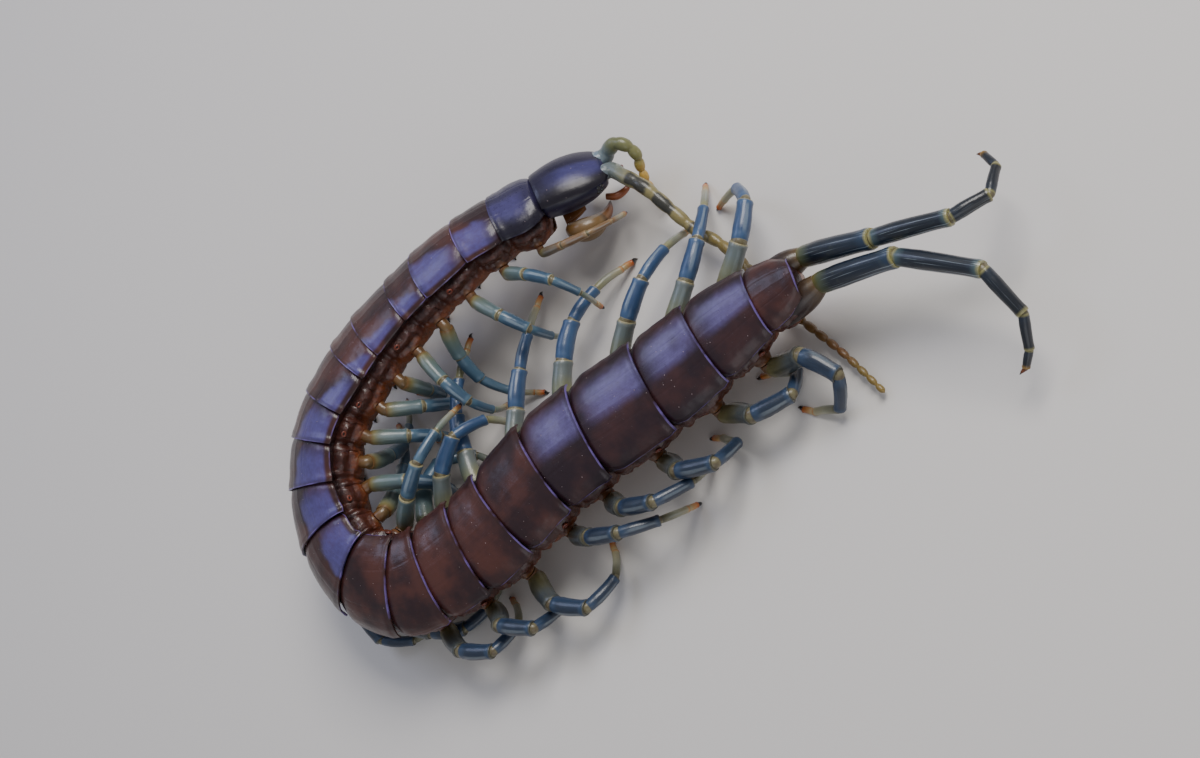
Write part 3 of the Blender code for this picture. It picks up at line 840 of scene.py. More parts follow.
class Piece:
    """One mesh of the model: shapes are added to it in millimetres, then it is dressed."""

    made: dict[Finish, bpy.types.Material] = {}

    def __init__(self, name: str) -> None:
        """Starts an empty mesh with its own map.

        Args:
            name: The piece's name.
        """
        self.name = name
        self.form = bmesh.new()
        self.layer = self.form.loops.layers.uv.new(ROUTE_LAYER)
        self.finishes: list[Finish] = []

    def _slot(self, finish: Finish) -> int:
        """The material slot of a finish, which is added if it is new."""
        if finish not in self.finishes:
            self.finishes.append(finish)
        return self.finishes.index(finish)

    def _grid(self, along: int, around: int, ring_at: RingAt, finish: Finish) -> list[bmesh.types.BMVert]:
        """Lays a flat grid onto rings, and keeps its map.

        Args:
            along: How many rows of faces it has.
            around: How many faces a row has.
            ring_at: Gives the ring of points at a share of the way along.
            finish: What its faces are finished with.

        Returns:
            The vertices of the grid.
        """
        slot = self._slot(finish)
        verts = bmesh.ops.create_grid(self.form, x_segments=along, y_segments=around, size=0.5)["verts"]
        faces = {face for vert in verts for face in vert.link_faces}
        for face in faces:
            face.material_index = slot
            for loop in face.loops:
                loop[self.layer].uv = (loop.vert.co.x + 0.5, loop.vert.co.y + 0.5)
        rings = [ring_at(i / along) for i in range(along + 1)]
        for vert in verts:
            share = vert.co.y + 0.5
            vert.co = rings[round((vert.co.x + 0.5) * along)](share)
        return verts

    def tube(self, along: int, around: int, ring_at: RingAt, finish: Finish) -> None:
        """Adds a closed tube through rings, with its ends filled.

        Args:
            along: How many rows of faces it has.
            around: How many faces go round it.
            ring_at: Gives the ring of points at a share of the way along.
            finish: What it is finished with.
        """
        verts = self._grid(along, around, ring_at, finish)
        bmesh.ops.remove_doubles(self.form, verts=verts, dist=LONGEST_EDGE_TO_MERGE)
        verts = [vert for vert in verts if vert.is_valid]
        open_edges = list(dict.fromkeys(edge for vert in verts for edge in vert.link_edges if edge.is_boundary))
        if open_edges:
            slot = self._slot(finish)
            for face in bmesh.ops.holes_fill(self.form, edges=open_edges, sides=0)["faces"]:
                face.material_index = slot

    def shell(self, along: int, around: int, ring_at: RingAt, finish: Finish, thickness: float) -> None:
        """Adds a curved plate through open rings, with a thickness under it.

        Args:
            along: How many rows of faces it has.
            around: How many faces go across it.
            ring_at: Gives the row of points at a share of the way along.
            finish: What it is finished with.
            thickness: Its thickness in millimetres.
        """
        verts = self._grid(along, around, ring_at, finish)
        faces = list(dict.fromkeys(face for vert in verts for face in vert.link_faces))
        bmesh.ops.recalc_face_normals(self.form, faces=faces)
        bmesh.ops.solidify(self.form, geom=faces, thickness=thickness)
        self._sort_faces()

    def _sort_faces(self) -> None:
        """Puts the faces in order of place, because the rim of a plate comes in a new order in each run."""
        centres = {face: face.calc_center_median()[:] for face in self.form.faces}
        rank = {face: i for i, face in enumerate(sorted(centres, key=centres.get))}
        self.form.faces.sort(key=rank.get)

    def finish(self, slot: str, *nodes: str) -> bpy.types.Object:
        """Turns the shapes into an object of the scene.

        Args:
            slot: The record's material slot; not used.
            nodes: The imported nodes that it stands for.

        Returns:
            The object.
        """
        bmesh.ops.recalc_face_normals(self.form, faces=self.form.faces)
        mesh = bpy.data.meshes.new(self.name)
        self.form.to_mesh(mesh)
        self.form.free()
        mesh.transform(Matrix.Scale(MM, 4) @ Matrix.Translation(CENTRE_SHIFT))
        for finish in self.finishes:
            if finish not in Piece.made:
                Piece.made[finish] = finish.material()
            mesh.materials.append(Piece.made[finish])
        mesh.shade_smooth()
        mesh.set_sharp_from_angle(angle=math.radians(SHARP_ANGLE))
        obj = bpy.data.objects.new(self.name, mesh)
        bpy.context.scene.collection.objects.link(obj)
        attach(obj, "root")
        if nodes:
            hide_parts(*nodes)
        LOG.info("%s: %d faces", self.name, len(mesh.polygons))
        return obj


@dataclass
class Tube:
    """A round run through points, with a radius at each."""

    points: Sequence[Vector]
    radii: Sequence[float]
    top: Vector
    flatness: float = 1.0
    heading_step: float = 0.02

    def __post_init__(self) -> None:
        """Measures the run."""
        self.line = chord_stations(self.points)
        self.sizes = [(place, radius) for (place, _), radius in zip(self.line, self.radii)]

    def ring_at(self, share: float) -> Place:
        """The ring at a share of the way along, which starts at the top."""
        place = share * self.line[-1][0]
        centre = blend(self.line, place)
        ahead, behind = (blend(self.line, place + step) for step in (self.heading_step, -self.heading_step))
        heading = (ahead - behind).normalized()
        return self.ring(centre, heading, max(blend(self.sizes, place), 0.0))

    def ring(self, centre: Vector, heading: Vector, radius: float) -> Place:
        """A ring round a centre, square to a heading."""
        top = (self.top - heading * self.top.dot(heading)).normalized()
        side = heading.cross(top)

        def point(around: float) -> Vector:
            """The point of the ring at a share of the way round."""
            angle = 2 * math.pi * around
            across = side * (radius * self.flatness * math.sin(angle))
            found = centre + top * (radius * math.cos(angle)) + across
            found.z = max(found.z, FLOOR_CLEARANCE)
            return found

        return point


@dataclass
class Podomere:
    """One joint of a limb: a narrow root, a swollen middle and a collar at its end."""

    start: Vector
    end: Vector
    top: Vector
    thick: float
    root: float
    bow: float = 0.04
    profile: Stations = (
        (0.0, 0.0), (0.03, 0.5), (0.1, 0.9), (0.2, 1.0), (0.5, 1.0), (0.9, 0.95), (0.965, 0.98), (1.0, 0.9),
    )

    def ring_at(self, share: float) -> Place:
        """The ring at a share of the way along it."""
        heading = (self.end - self.start).normalized()
        centre = self.start.lerp(self.end, share)
        centre += self.top * (self.bow * (self.end - self.start).length * math.sin(math.pi * share))
        level = blend(self.profile, share)
        radius = self.root + (self.thick - self.root) * level if share < 0.2 else self.thick * level
        return Tube((self.start, self.end), (1, 1), self.top, 0.92).ring(centre, heading, radius)


@dataclass
class BodyPlan:
    """The run of the trunk, its width and depth, its segments and the outline across it.

    The rows, lengths and widths were fitted to the photo by a program and were not chosen by hand. A row is
    x, y, height and the roll to the left in degrees.
    """

    rows: tuple[tuple[float, float, float, float], ...] = (
        (-10.3, 11.8, 5.9, 16),
        (-14.6, 6.5, 7.6, 21),
        (-18.6, 0.2, 8.1, 25),
        (-21.0, -5.7, 8.5, 22),
        (-21.8, -12.3, 8.5, 26),
        (-19.0, -18.7, 7.3, 24),
        (-15.2, -21.2, 6.6, 26),
        (-10.4, -21.0, 6.0, 17),
        (-4.9, -15.8, 5.4, 11),
        (-0.1, -7.4, 5.4, 7),
        (7.0, 1.3, 5.2, 10),
        (13.3, 9.4, 5.2, 8),
        (15.7, 11.8, 5.2, 3),
    )
    lengths: tuple[float, ...] = (
        3.7, 3.3, 4.3, 2.9, 4.0, 2.6, 3.8,
        3.2, 3.6, 4.1, 4.4, 4.4, 3.4, 4.1,
        4.1, 5.2, 4.9, 6.4, 5.3, 5.2, 3.3,
    )
    widths: Stations = (
        (0, 5.6), (2, 6.6), (3.7, 6.1), (5.3, 6.4), (7, 6.4), (9.5, 7.3), (12, 7.6),
        (27, 8.7), (40, 8.6), (66, 8.9), (73, 8.3), (80, 6.9), (84.8, 5.0),
    )
    depths: Stations = ((0, 4.0), (12, 4.7), (27, 5.2), (45, 5.0), (68, 4.9), (77, 4.4), (84.8, 3.7))
    outline: Outline = (
        (0.0, 0.50), (0.34, 0.475), (0.62, 0.405), (0.82, 0.31), (0.92, 0.20),
        (0.88, 0.13), (0.93, -0.02), (0.90, -0.20), (0.78, -0.35), (0.58, -0.47), (0.0, -0.50),
    )
    margin: int = 4

    def __post_init__(self) -> None:
        """Measures the route and the outline."""
        self.route = Route([Vector(row[:3]) for row in self.rows])
        self.rolls = [(station[0], row[3]) for station, row in zip(self.route.stations, self.rows)]
        self.section = section_of(self.outline)
        self.margin_share = self.section[self.margin][0]
        self.starts = [sum(self.lengths[:i]) for i in range(len(self.lengths) + 1)]

    def frame(self, s: float) -> Frame:
        """The frame at true length s."""
        return Frame(self.route.point(s), self.route.heading(s), blend(self.rolls, self.route.mark(s)))

    def half(self, s: float) -> float:
        """Half of the width at s."""
        return blend(self.widths, s) / 2

    def depth(self, s: float) -> float:
        """The depth from back to belly at s."""
        return blend(self.depths, s)

    def segment_middle(self, number: int) -> float:
        """Where the middle of a segment lies, counting from 1."""
        return (self.starts[number - 1] + self.starts[number]) / 2

    def across_up(self, share: float, half: float, deep: float) -> Vector:
        """The outline's point at a share of the way from the middle of the back to that of the belly."""
        point = blend(self.section, share)
        return Vector((point.x * half, point.y * deep))


@dataclass
class Trunk:
    """The skin of the trunk with its plates above and below, and its breathing holes."""

    plan: BodyPlan
    nodes: tuple[str, ...] = (
        "trunk_01_03", "trunk_04_06", "trunk_07_09", "trunk_10_12",
        "trunk_13_15", "trunk_16_18", "trunk_19_21",
    )
    back_profile: Stations = ((0.0, 0.93), (0.12, 0.97), (0.5, 1.0), (0.86, 1.01), (1.0, 1.045))
    under_plate: float = 0.35
    plate_thickness: float = 0.13
    overlap: float = 0.22
    spiracle_segments: tuple[int, ...] = (3, 5, 7, 8, 10, 12, 14, 16, 18, 20)

    def skin_ring(self, s: float) -> Place:
        """The ring of skin at s, with its folds."""
        plan = self.plan
        frame = plan.frame(s)
        half, deep = plan.half(s), plan.depth(s)
        end = plan.starts[-1]
        closing = math.sqrt(max(1 - (max(s - end + 0.3, 0.0) / 0.82) ** 2, 0.0))
        closing *= math.sqrt(1 - (max(0.7 - s, 0.0) / 0.75) ** 2)
        boundary = min(abs(s - start) for start in plan.starts)
        index = min(sum(1 for start in plan.starts[1:] if start < s), len(plan.lengths) - 1)
        phase = (s - plan.starts[index]) / plan.lengths[index]
        pinch = 0.4 * math.exp(-((boundary / 0.35) ** 2))

        def point(around: float) -> Vector:
            """The skin's point at a share of the way round from the middle of the back."""
            side, share = mirrored(around)
            flat = plan.across_up(share, half, deep)
            outward = flat.normalized()
            flank = rise(share, 0.40, 0.44) * (1 - rise(share, 0.70, 0.78))
            lift = -self.under_plate * (1 - rise(share, 0.39, 0.43))
            lift -= pinch * (0.3 + 0.7 * flank)
            lift -= flank * (0.22 * hump(share, 0.448, 0.012) + 0.16 * hump(share, 0.56, 0.016))
            lift += 0.22 * hump(share, 0.50, 0.025) * hump(phase, 0.5, 0.28)
            lift += 0.3 * hump(share, 0.64, 0.05) * hump(phase, 0.5, 0.2)
            lift -= 0.14 * flank * hump(phase + 0.5 * (share - 0.55), 0.22, 0.03)
            lift -= 0.12 * flank * hump(phase - 0.5 * (share - 0.55), 0.8, 0.03)
            spot = frame.at(side * flat.x, flat.y)
            lift += flank * 0.16 * (noise.noise(spot * 1.1) + 0.5 * noise.noise(spot * 2.7))
            lift += 0.03 * noise.noise(spot * 3.0)
            flat = (flat + outward * lift) * closing
            return frame.at(side * flat.x, flat.y)

        return point

    def build_skin(self, legs: Sequence["WalkingLeg"], last_legs: Sequence["UltimateLeg"]) -> None:
        """Builds the skin with the stubs that carry the legs.

        Args:
            legs: The walking legs that it carries.
            last_legs: The last pair of legs.
        """
        piece = Piece("trunk_skin")
        start, end = 0.0, self.plan.starts[-1] + 0.52
        piece.tube(560, 120, lambda share: self.skin_ring(start + share * (end - start)), SKIN)
        for leg in legs:
            leg.add_coxa(piece)
        for last_leg in last_legs:
            last_leg.add_stub(piece, self.plan)
        piece.finish("trunk_shell", *self.nodes)

    def plate_row(self, number: int, share: float) -> Place:
        """The row of a back plate at a share of the way along its segment."""
        plan = self.plan
        first, last = plan.starts[number - 1], plan.starts[number]
        tail = number == len(plan.lengths)
        begin = first + (0.05 if number == 1 else -0.1)
        reach = 0.3 if tail else self.overlap
        s = begin + share * (last + reach - begin)
        frame = plan.frame(s)
        own = (s - first) / (last - first)
        swell = blend(self.back_profile, min(max(own, 0.0), 1.0))
        half, deep = plan.half(s) * swell, plan.depth(s) * swell
        taper = 1 - 0.09 * (1 - rise(share, 0.0, 0.28)) - 0.05 * rise(share, 0.88, 1.0)
        if tail:
            taper -= 0.25 * rise(share, 0.6, 1.0)
        bow = 0.5 if tail else 0.12
        along = rise(share, 0.04, 0.12) * (1 - rise(share, 0.93, 0.97))

        def point(across: float) -> Vector:
            """The plate's point at a share of the way across from the right margin to the left."""
            signed = 2 * across - 1
            edge = abs(signed)
            flat = plan.across_up(edge * plan.margin_share, half, deep)
            outward = flat.normalized()
            lift = -0.02 * along * hump(edge, 0.36, 0.02)
            lift += 0.03 * rise(edge, 0.96, 0.98) - 0.03 * hump(edge, 0.95, 0.01)
            lift += 0.03 * rise(share, 0.965, 0.98) - 0.03 * hump(share, 0.955, 0.01)
            lift -= 0.22 * (1 - rise(share, 0.0, 0.09))
            spot = frame.at(signed * flat.x, flat.y)
            lift += 0.035 * noise.noise(spot * 0.7) + 0.012 * noise.noise(spot * 2.3)
            flat += outward * lift
            left = math.copysign(flat.x, signed) if edge else 0.0
            return frame.at(left * taper, flat.y, bow * (1 - edge * edge) * share)

        return point

    def build_back_plates(self) -> None:
        """Builds the 21 plates of the back, each over the front of the next."""
        for number in range(1, len(self.plan.lengths) + 1):
            piece = Piece(f"tergite_{number:02d}")
            look = PlateLook.of(number).value
            piece.shell(40, 96, lambda share, n=number: self.plate_row(n, share), look, self.plate_thickness)
            piece.finish("trunk_shell")

    def belly_row(self, number: int, share: float) -> Place:
        """The row of a belly plate at a share of the way along its segment."""
        plan = self.plan
        first, last = plan.starts[number - 1], plan.starts[number]
        s = first + 0.2 + share * (last - first - 0.3)
        frame = plan.frame(s)
        half, deep = plan.half(s), plan.depth(s)
        width = 0.5 - 0.05 * (1 - rise(share, 0.0, 0.15)) - 0.04 * rise(share, 0.85, 1.0)

        def point(across: float) -> Vector:
            """The plate's point at a share of the way across."""
            signed = 2 * across - 1
            edge = abs(signed)
            lift = 0.1 - 0.18 * rise(edge, 0.86, 1.0) - 0.05 * hump(edge, 0.45, 0.03)
            lift -= 0.15 * (1 - rise(share, 0.0, 0.08)) - 0.04 * rise(share, 0.92, 0.96)
            left = signed * width * half
            return frame.at(left, -0.5 * deep + 0.03 * deep * edge * edge - lift)

        return point

    def build_belly_plates(self) -> None:
        """Builds the plates of the belly."""
        piece = Piece("sternites")
        for number in range(1, len(self.plan.lengths) + 1):
            piece.shell(14, 26, lambda share, n=number: self.belly_row(n, share), STERNITE, 0.12)
        piece.finish("trunk_shell")

    def build_spiracles(self) -> None:
        """Builds the rims of the breathing holes on both flanks."""
        for side in Side:
            piece = Piece(f"spiracles_{side.label}")
            for number in self.spiracle_segments:
                s = self.plan.segment_middle(number) + 0.16 * self.plan.lengths[number - 1]
                frame = self.plan.frame(s)
                flat = self.plan.across_up(0.49, self.plan.half(s), self.plan.depth(s))
                outward = frame.left * side.value
                centre = frame.at(side.value * (flat.x + 0.25), flat.y)
                self.add_ring(piece, centre, outward, frame)
            piece.finish("trunk_shell")

    def add_ring(self, piece: Piece, centre: Vector, outward: Vector, frame: Frame) -> None:
        """Adds one oval rim and a black plug inside it, painted shade for the pore."""
        long, short, thick = 0.2, 0.15, 0.09

        def ring_at(share: float) -> Place:
            """The round of the rim at a share of the way round the pore."""
            turn = 2 * math.pi * share
            radial = frame.rear * math.cos(turn) + frame.up * math.sin(turn)
            middle = centre + frame.rear * (long * math.cos(turn)) + frame.up * (short * math.sin(turn))

            def point(around: float) -> Vector:
                """The rim's point at a share of the way round its own section."""
                angle = 2 * math.pi * around
                return middle + radial * (thick * math.cos(angle)) + outward * (thick * math.sin(angle))

            return point

        piece.tube(20, 8, ring_at, SPIRACLE)
        # A black plug fills the hole as painted shade.
        pore = Tube((centre - outward * 0.1, centre, centre + outward * 0.03), (0.14, 0.15, 0.0), frame.up)
        piece.tube(4, 12, pore.ring_at, PORE)


# Where the body bends sharply, these coxae are turned toward the head, in degrees
COXA_SWEEPS = {(Side.RIGHT, 10): 28, (Side.RIGHT, 11): 12, (Side.RIGHT, 12): -12, (Side.RIGHT, 13): -28}


@dataclass
class WalkingLeg:
    """One walking leg, from its stub on the trunk to its claw."""

    plan: BodyPlan
    side: Side
    number: int
    stand: tuple[float, float, float, float]
    podomere_lengths: tuple[float, ...] = (3.7, 3.3, 3.3, 2.7, 1.6)
    podomere_radii: tuple[float, ...] = (0.82, 0.72, 0.52, 0.33, 0.27)
    bend_shares: tuple[float, ...] = (0.55, 1.0, 0.7, 0.2)
    knee_out: float = 0.8
    knee_up: float = 0.6
    most_bend: float = 2.0
    bend_search_steps: int = 40
    coxa_root: float = 0.68
    coxa_rise: float = -0.2
    coxa_length: float = 1.1
    coxa_radius: float = 0.85
    coxa_drop: float = 45
    trochanter_length: float = 0.5
    least_radius: float = 0.25
    last_tarsus_end: float = 0.66
    claw_start: float = 0.62
    gap: float = 0.3
    scales: Stations = ((0, 0.68), (6, 0.76), (15, 0.8), (30, 0.85), (45, 0.94), (56, 1.0), (90, 1.0))

    def __post_init__(self) -> None:
        """Places the hip and bends the leg to its foot."""
        plan = self.plan
        self.look = LegLook.of(self.side, self.number)
        middle = plan.segment_middle(self.number)
        self.scale = blend(self.scales, middle)
        frame = plan.frame(middle)
        sign = self.side.value
        self.out = Vector((frame.left.x, frame.left.y, 0)).normalized() * sign
        drop = math.radians(self.coxa_drop)
        sweep = math.radians(COXA_SWEEPS.get((self.side, self.number), 0))
        level = frame.left * (sign * math.cos(sweep)) - frame.rear * math.sin(sweep)
        self.coxa_direction = level * math.cos(drop) - frame.up * math.sin(drop)
        self.base = frame.at(sign * self.coxa_root * plan.half(middle), self.coxa_rise * plan.depth(middle))
        self.coxa_end = self.base + self.coxa_direction * (self.coxa_length * self.scale)
        self.hip = self.coxa_end + self.coxa_direction * (self.gap + self.trochanter_length * self.scale)
        self.foot = Vector(self.stand[:3])
        self.joints = self.bent()

    def bent(self) -> list[Vector]:
        """The joints of an arch from the hip to the foot, bent at each by its share."""
        line = self.foot - self.hip
        low, high = 0.0, self.most_bend
        for _ in range(self.bend_search_steps):
            bend = (low + high) / 2
            flat = self.flat_joints(bend)
            if flat[-1].length > line.length:
                low = bend
            else:
                high = bend
        along = line.normalized()
        out = self.out * self.knee_out + UP * self.knee_up
        knee = (out - along * out.dot(along)).normalized()
        side = along.cross(knee)
        turn = math.radians(self.stand[3]) * self.side.value
        self.knee = knee * math.cos(turn) + side * math.sin(turn)
        end = flat[-1].normalized()
        joints = []
        for joint in flat:
            raised = joint.x * -end.y + joint.y * end.x
            joints.append(self.hip + along * joint.dot(end) + self.knee * raised)
        return joints

    def flat_joints(self, bend: float) -> list[Vector]:
        """The joints in a plane for a bend in radians."""
        joints = [Vector((0, 0))]
        angle = 0.0
        for length, share in zip(self.podomere_lengths, (0.0, *self.bend_shares)):
            angle -= bend * share
            joints.append(joints[-1] + Vector((math.cos(angle), math.sin(angle))) * (length * self.scale))
        return joints

    def add_coxa(self, piece: Piece) -> None:
        """Adds the stub to the skin of the trunk, flared where it leaves the flank."""
        start = self.base - self.coxa_direction * 0.5
        points = [start.lerp(self.coxa_end, share) for share in (0.0, 0.35, 0.7, 0.92, 1.0)]
        radii = [self.coxa_radius * self.scale * share for share in (1.5, 1.3, 1.0, 0.9, 0.8)]
        piece.tube(14, 24, Tube(points, radii, UP, 0.95).ring_at, COXA)

    def radius(self, index: int) -> float:
        """The thickness of a podomere, counting from 0."""
        return self.podomere_radii[index] * self.scale * self.look.girth

    def build(self) -> None:
        """Builds the leg."""
        name = f"leg_{self.side.label}_{self.number:02d}"
        piece = Piece(f"walking_{name}")
        finishes = self.look.finishes
        stub = self.coxa_end + self.coxa_direction * (self.gap - 0.2)
        elbow = self.joints[0].lerp(self.joints[1], 0.06)
        wide = self.coxa_radius * self.scale * 0.74 * self.look.girth
        trochanter = Tube((stub, self.joints[0], elbow), (wide, wide * 0.98, self.radius(0) * 0.8), self.knee)
        piece.tube(8, 20, trochanter.ring_at, TROCHANTER)
        for i, finish in enumerate(finishes):
            self.add_podomere(piece, i, finish)
            if i:
                self.add_membrane(piece, i)
        self.add_claw(piece)
        piece.finish("walking_leg", name)

    def top(self, index: int) -> Vector:
        """The direction that a podomere's back faces."""
        heading = (self.joints[index + 1] - self.joints[index]).normalized()
        return (self.knee - heading * self.knee.dot(heading)).normalized()

    def add_podomere(self, piece: Piece, index: int, finish: LimbFinish) -> None:
        """Adds one podomere, the last one short of the claw."""
        start, end = self.joints[index], self.joints[index + 1]
        thick = self.radius(index)
        root = 0.9 * min(thick, self.radius(max(index - 1, 0)))
        if index == len(self.podomere_radii) - 1:
            end = start.lerp(end, self.last_tarsus_end)
        start = start.lerp(end, 0.015 if index else 0.0)
        podomere = Podomere(start, end, self.top(index), max(thick, self.least_radius), root)
        piece.tube(20, 20, podomere.ring_at, finish)

    def add_membrane(self, piece: Piece, index: int) -> None:
        """Adds the soft sleeve between a podomere and the one before."""
        before, joint, after = self.joints[index - 1 : index + 2]
        radius = 0.86 * min(self.radius(index), self.radius(index - 1) * 0.88)
        points = (before.lerp(joint, 0.95), joint, joint.lerp(after, 0.05))
        piece.tube(6, 16, Tube(points, (radius, radius * 1.03, radius), self.top(index)).ring_at, MEMBRANE)

    def add_claw(self, piece: Piece) -> None:
        """Adds the curved claw."""
        start, end = self.joints[-2], self.joints[-1]
        thick = max(self.radius(len(self.podomere_radii) - 1), self.least_radius)
        root = start.lerp(end, self.claw_start)
        lift = self.top(len(self.podomere_radii) - 1) * 0.12
        points = (root, root.lerp(end, 0.5) + lift, end)
        piece.tube(8, 12, Tube(points, (thick * 0.78, thick * 0.5, 0.0), self.knee).ring_at, CLAW)


@dataclass
class UltimateLeg:
    """One of the last pair of legs, which trails behind."""

    side: Side
    joints: Points
    radii: tuple[float, ...] = (0.92, 0.74, 0.56, 0.42, 0.33, 0.2)
    stub_back: float = 2.6
    stub_out: float = 1.75
    stub_up: float = -0.35
    stub_radii: tuple[float, ...] = (0.8, 1.15, 1.12, 0.86)

    def add_stub(self, piece: Piece, plan: BodyPlan) -> None:
        """Adds the swollen stub at the end of the trunk that carries the leg.

        Args:
            piece: The skin of the trunk.
            plan: The run of the trunk.
        """
        root, knee = Vector(self.joints[0]), Vector(self.joints[1])
        along = (knee - root).normalized()
        inner = plan.frame(plan.starts[-1] - self.stub_back)
        start = inner.at(self.side.value * self.stub_out, self.stub_up)
        points = (start, start.lerp(root, 0.4) - along * 0.05, start.lerp(root, 0.8), root + along * 0.05)
        piece.tube(20, 32, Tube(points, self.stub_radii, UP, 0.92).ring_at, COXOPLEURA)

    def finishes(self) -> tuple[Finish, ...]:
        """The finishes of its podomeres in turn."""
        dark, streak, ring = tone(26, 36, 50), tone(66, 84, 88), tone(150, 144, 92)
        black = tone(18, 22, 30)
        blue = tone(36, 54, 76)
        return (
            LimbFinish(
                "ultimate_prefemur",
                (
                    (0.0, tone(112, 100, 48)),
                    (0.1, tone(76, 84, 62)),
                    (0.24, dark),
                    (0.9, blue),
                    (0.97, blue),
                    (1.0, ring),
                ),
                black,
                0.5,
                streaked=0.45,
            ),
            LimbFinish(
                "ultimate_femur",
                ((0.0, ring), (0.05, streak), (0.14, dark), (0.9, dark), (0.96, streak), (1.0, ring)),
                black,
                0.5,
                streaked=0.55,
            ),
            LimbFinish("ultimate_tibia", banded(ring, 0.06, dark, 0.92, black), black, 0.5, streaked=0.25),
            LimbFinish("ultimate_first_tarsus", banded(ring, 0.08, dark, 0.9, black), black, 0.5),
            LimbFinish(
                "ultimate_second_tarsus",
                ((0.0, ring), (0.1, dark), (0.75, black), (1.0, tone(150, 116, 50))),
                black,
                0.4,
            ),
            HornFinish("ultimate_claw", tone(110, 56, 24), BLACK),
        )

    def build(self) -> None:
        """Builds the leg."""
        name = f"leg_{self.side.label}_21"
        piece = Piece(f"ultimate_{name}")
        joints = [Vector(joint) for joint in self.joints]
        last = len(self.radii) - 1
        for i, (radius, finish) in enumerate(zip(self.radii, self.finishes())):
            start, end = joints[i], joints[i + 1]
            heading = (end - start).normalized()
            top = (UP - heading * UP.dot(heading)).normalized()
            if i == last:
                claw = Tube((start, start.lerp(end, 0.5) + top * 0.05, end), (radius, radius * 0.6, 0.0), UP)
                piece.tube(8, 14, claw.ring_at, finish)
                continue
            root = radius * 0.9
            piece.tube(28, 24, Podomere(start, end, top, radius, root, 0.02).ring_at, finish)
            if i:
                sleeve = 0.8 * radius
                points = (joints[i - 1].lerp(start, 0.95), start, start.lerp(end, 0.06))
                piece.tube(6, 16, Tube(points, (sleeve, sleeve * 1.04, sleeve), UP).ring_at, MEMBRANE)
        piece.finish("ultimate_leg", name)


class AntennaLook(Enum):
    """The two feelers: the long right one, and the left one that curls away behind it."""

    LONG = "right"
    CURLED = "left"

    @property
    def side(self) -> Side:
        """The side that it grows on."""
        return Side[self.value.upper()]

    @property
    def articles(self) -> int:
        """How many beads it has."""
        return 22 if self is AntennaLook.LONG else 9

    @property
    def thick(self) -> float:
        """Its radius at the root."""
        return 0.68 if self is AntennaLook.LONG else 0.8

    @property
    def finish(self) -> AntennaFinish:
        """Its finish, from the blue-grey root to the tip."""
        if self is AntennaLook.LONG:
            return AntennaFinish("antenna_right_shell")
        return AntennaFinish(
            "antenna_left_shell",
            (
                (0.0, tone(104, 122, 138)),
                (0.13, tone(108, 120, 120)),
                (0.2, tone(96, 100, 66)),
                (0.42, tone(124, 122, 72)),
                (0.55, tone(186, 152, 70)),
                (1.0, tone(196, 142, 58)),
            ),
            (),
        )


@dataclass
class Antenna:
    """One feeler: a row of beads that grow shorter and thinner toward its tip."""

    head: "Head"
    look: AntennaLook
    points: Points
    root: Point = (5.2, 0.85, 0.95)
    root_step: float = 0.7
    thin: float = 0.25
    last_article: float = 0.5
    beads: Stations = ((0.0, 0.0), (0.15, 0.55), (0.55, 1.0), (0.85, 0.6), (1.0, 0.0))

    def build(self) -> None:
        """Builds the feeler."""
        forward, out, up = self.root
        sign = self.look.side.value
        roots = [self.head.at(step, sign * out, up) for step in (forward, forward + self.root_step)]
        route = Route([*roots, *(Vector(point) for point in self.points)])
        count = self.look.articles
        lengths = [1 - (1 - self.last_article) * i / (count - 1) for i in range(count)]
        starts = [sum(lengths[:i]) / sum(lengths) for i in range(count + 1)]

        def ring_at(share: float) -> Place:
            """The ring at a share of the way along the feeler, counted in beads."""
            index = min(int(share * count), count - 1)
            phase = share * count - index
            mark = starts[index] + phase * (starts[index + 1] - starts[index])
            size = self.look.thick + (self.thin - self.look.thick) * mark**0.8
            radius = size * (1 - (0.05 + 0.5 * mark) * (1 - blend(self.beads, phase)))
            if index == count - 1:
                radius *= math.sqrt(max(1 - rise(phase, 0.6, 1.0) ** 2, 0.0))
            tube = Tube((route.point(0), route.point(1)), (1, 1), UP)
            s = mark * route.length
            return tube.ring(route.point(s), route.heading(s), radius)

        name = self.look.side.label
        piece = Piece(f"feeler_{name}")
        piece.tube(count * 10, 24, ring_at, self.look.finish)
        piece.finish("antenna", f"antenna_{name}")


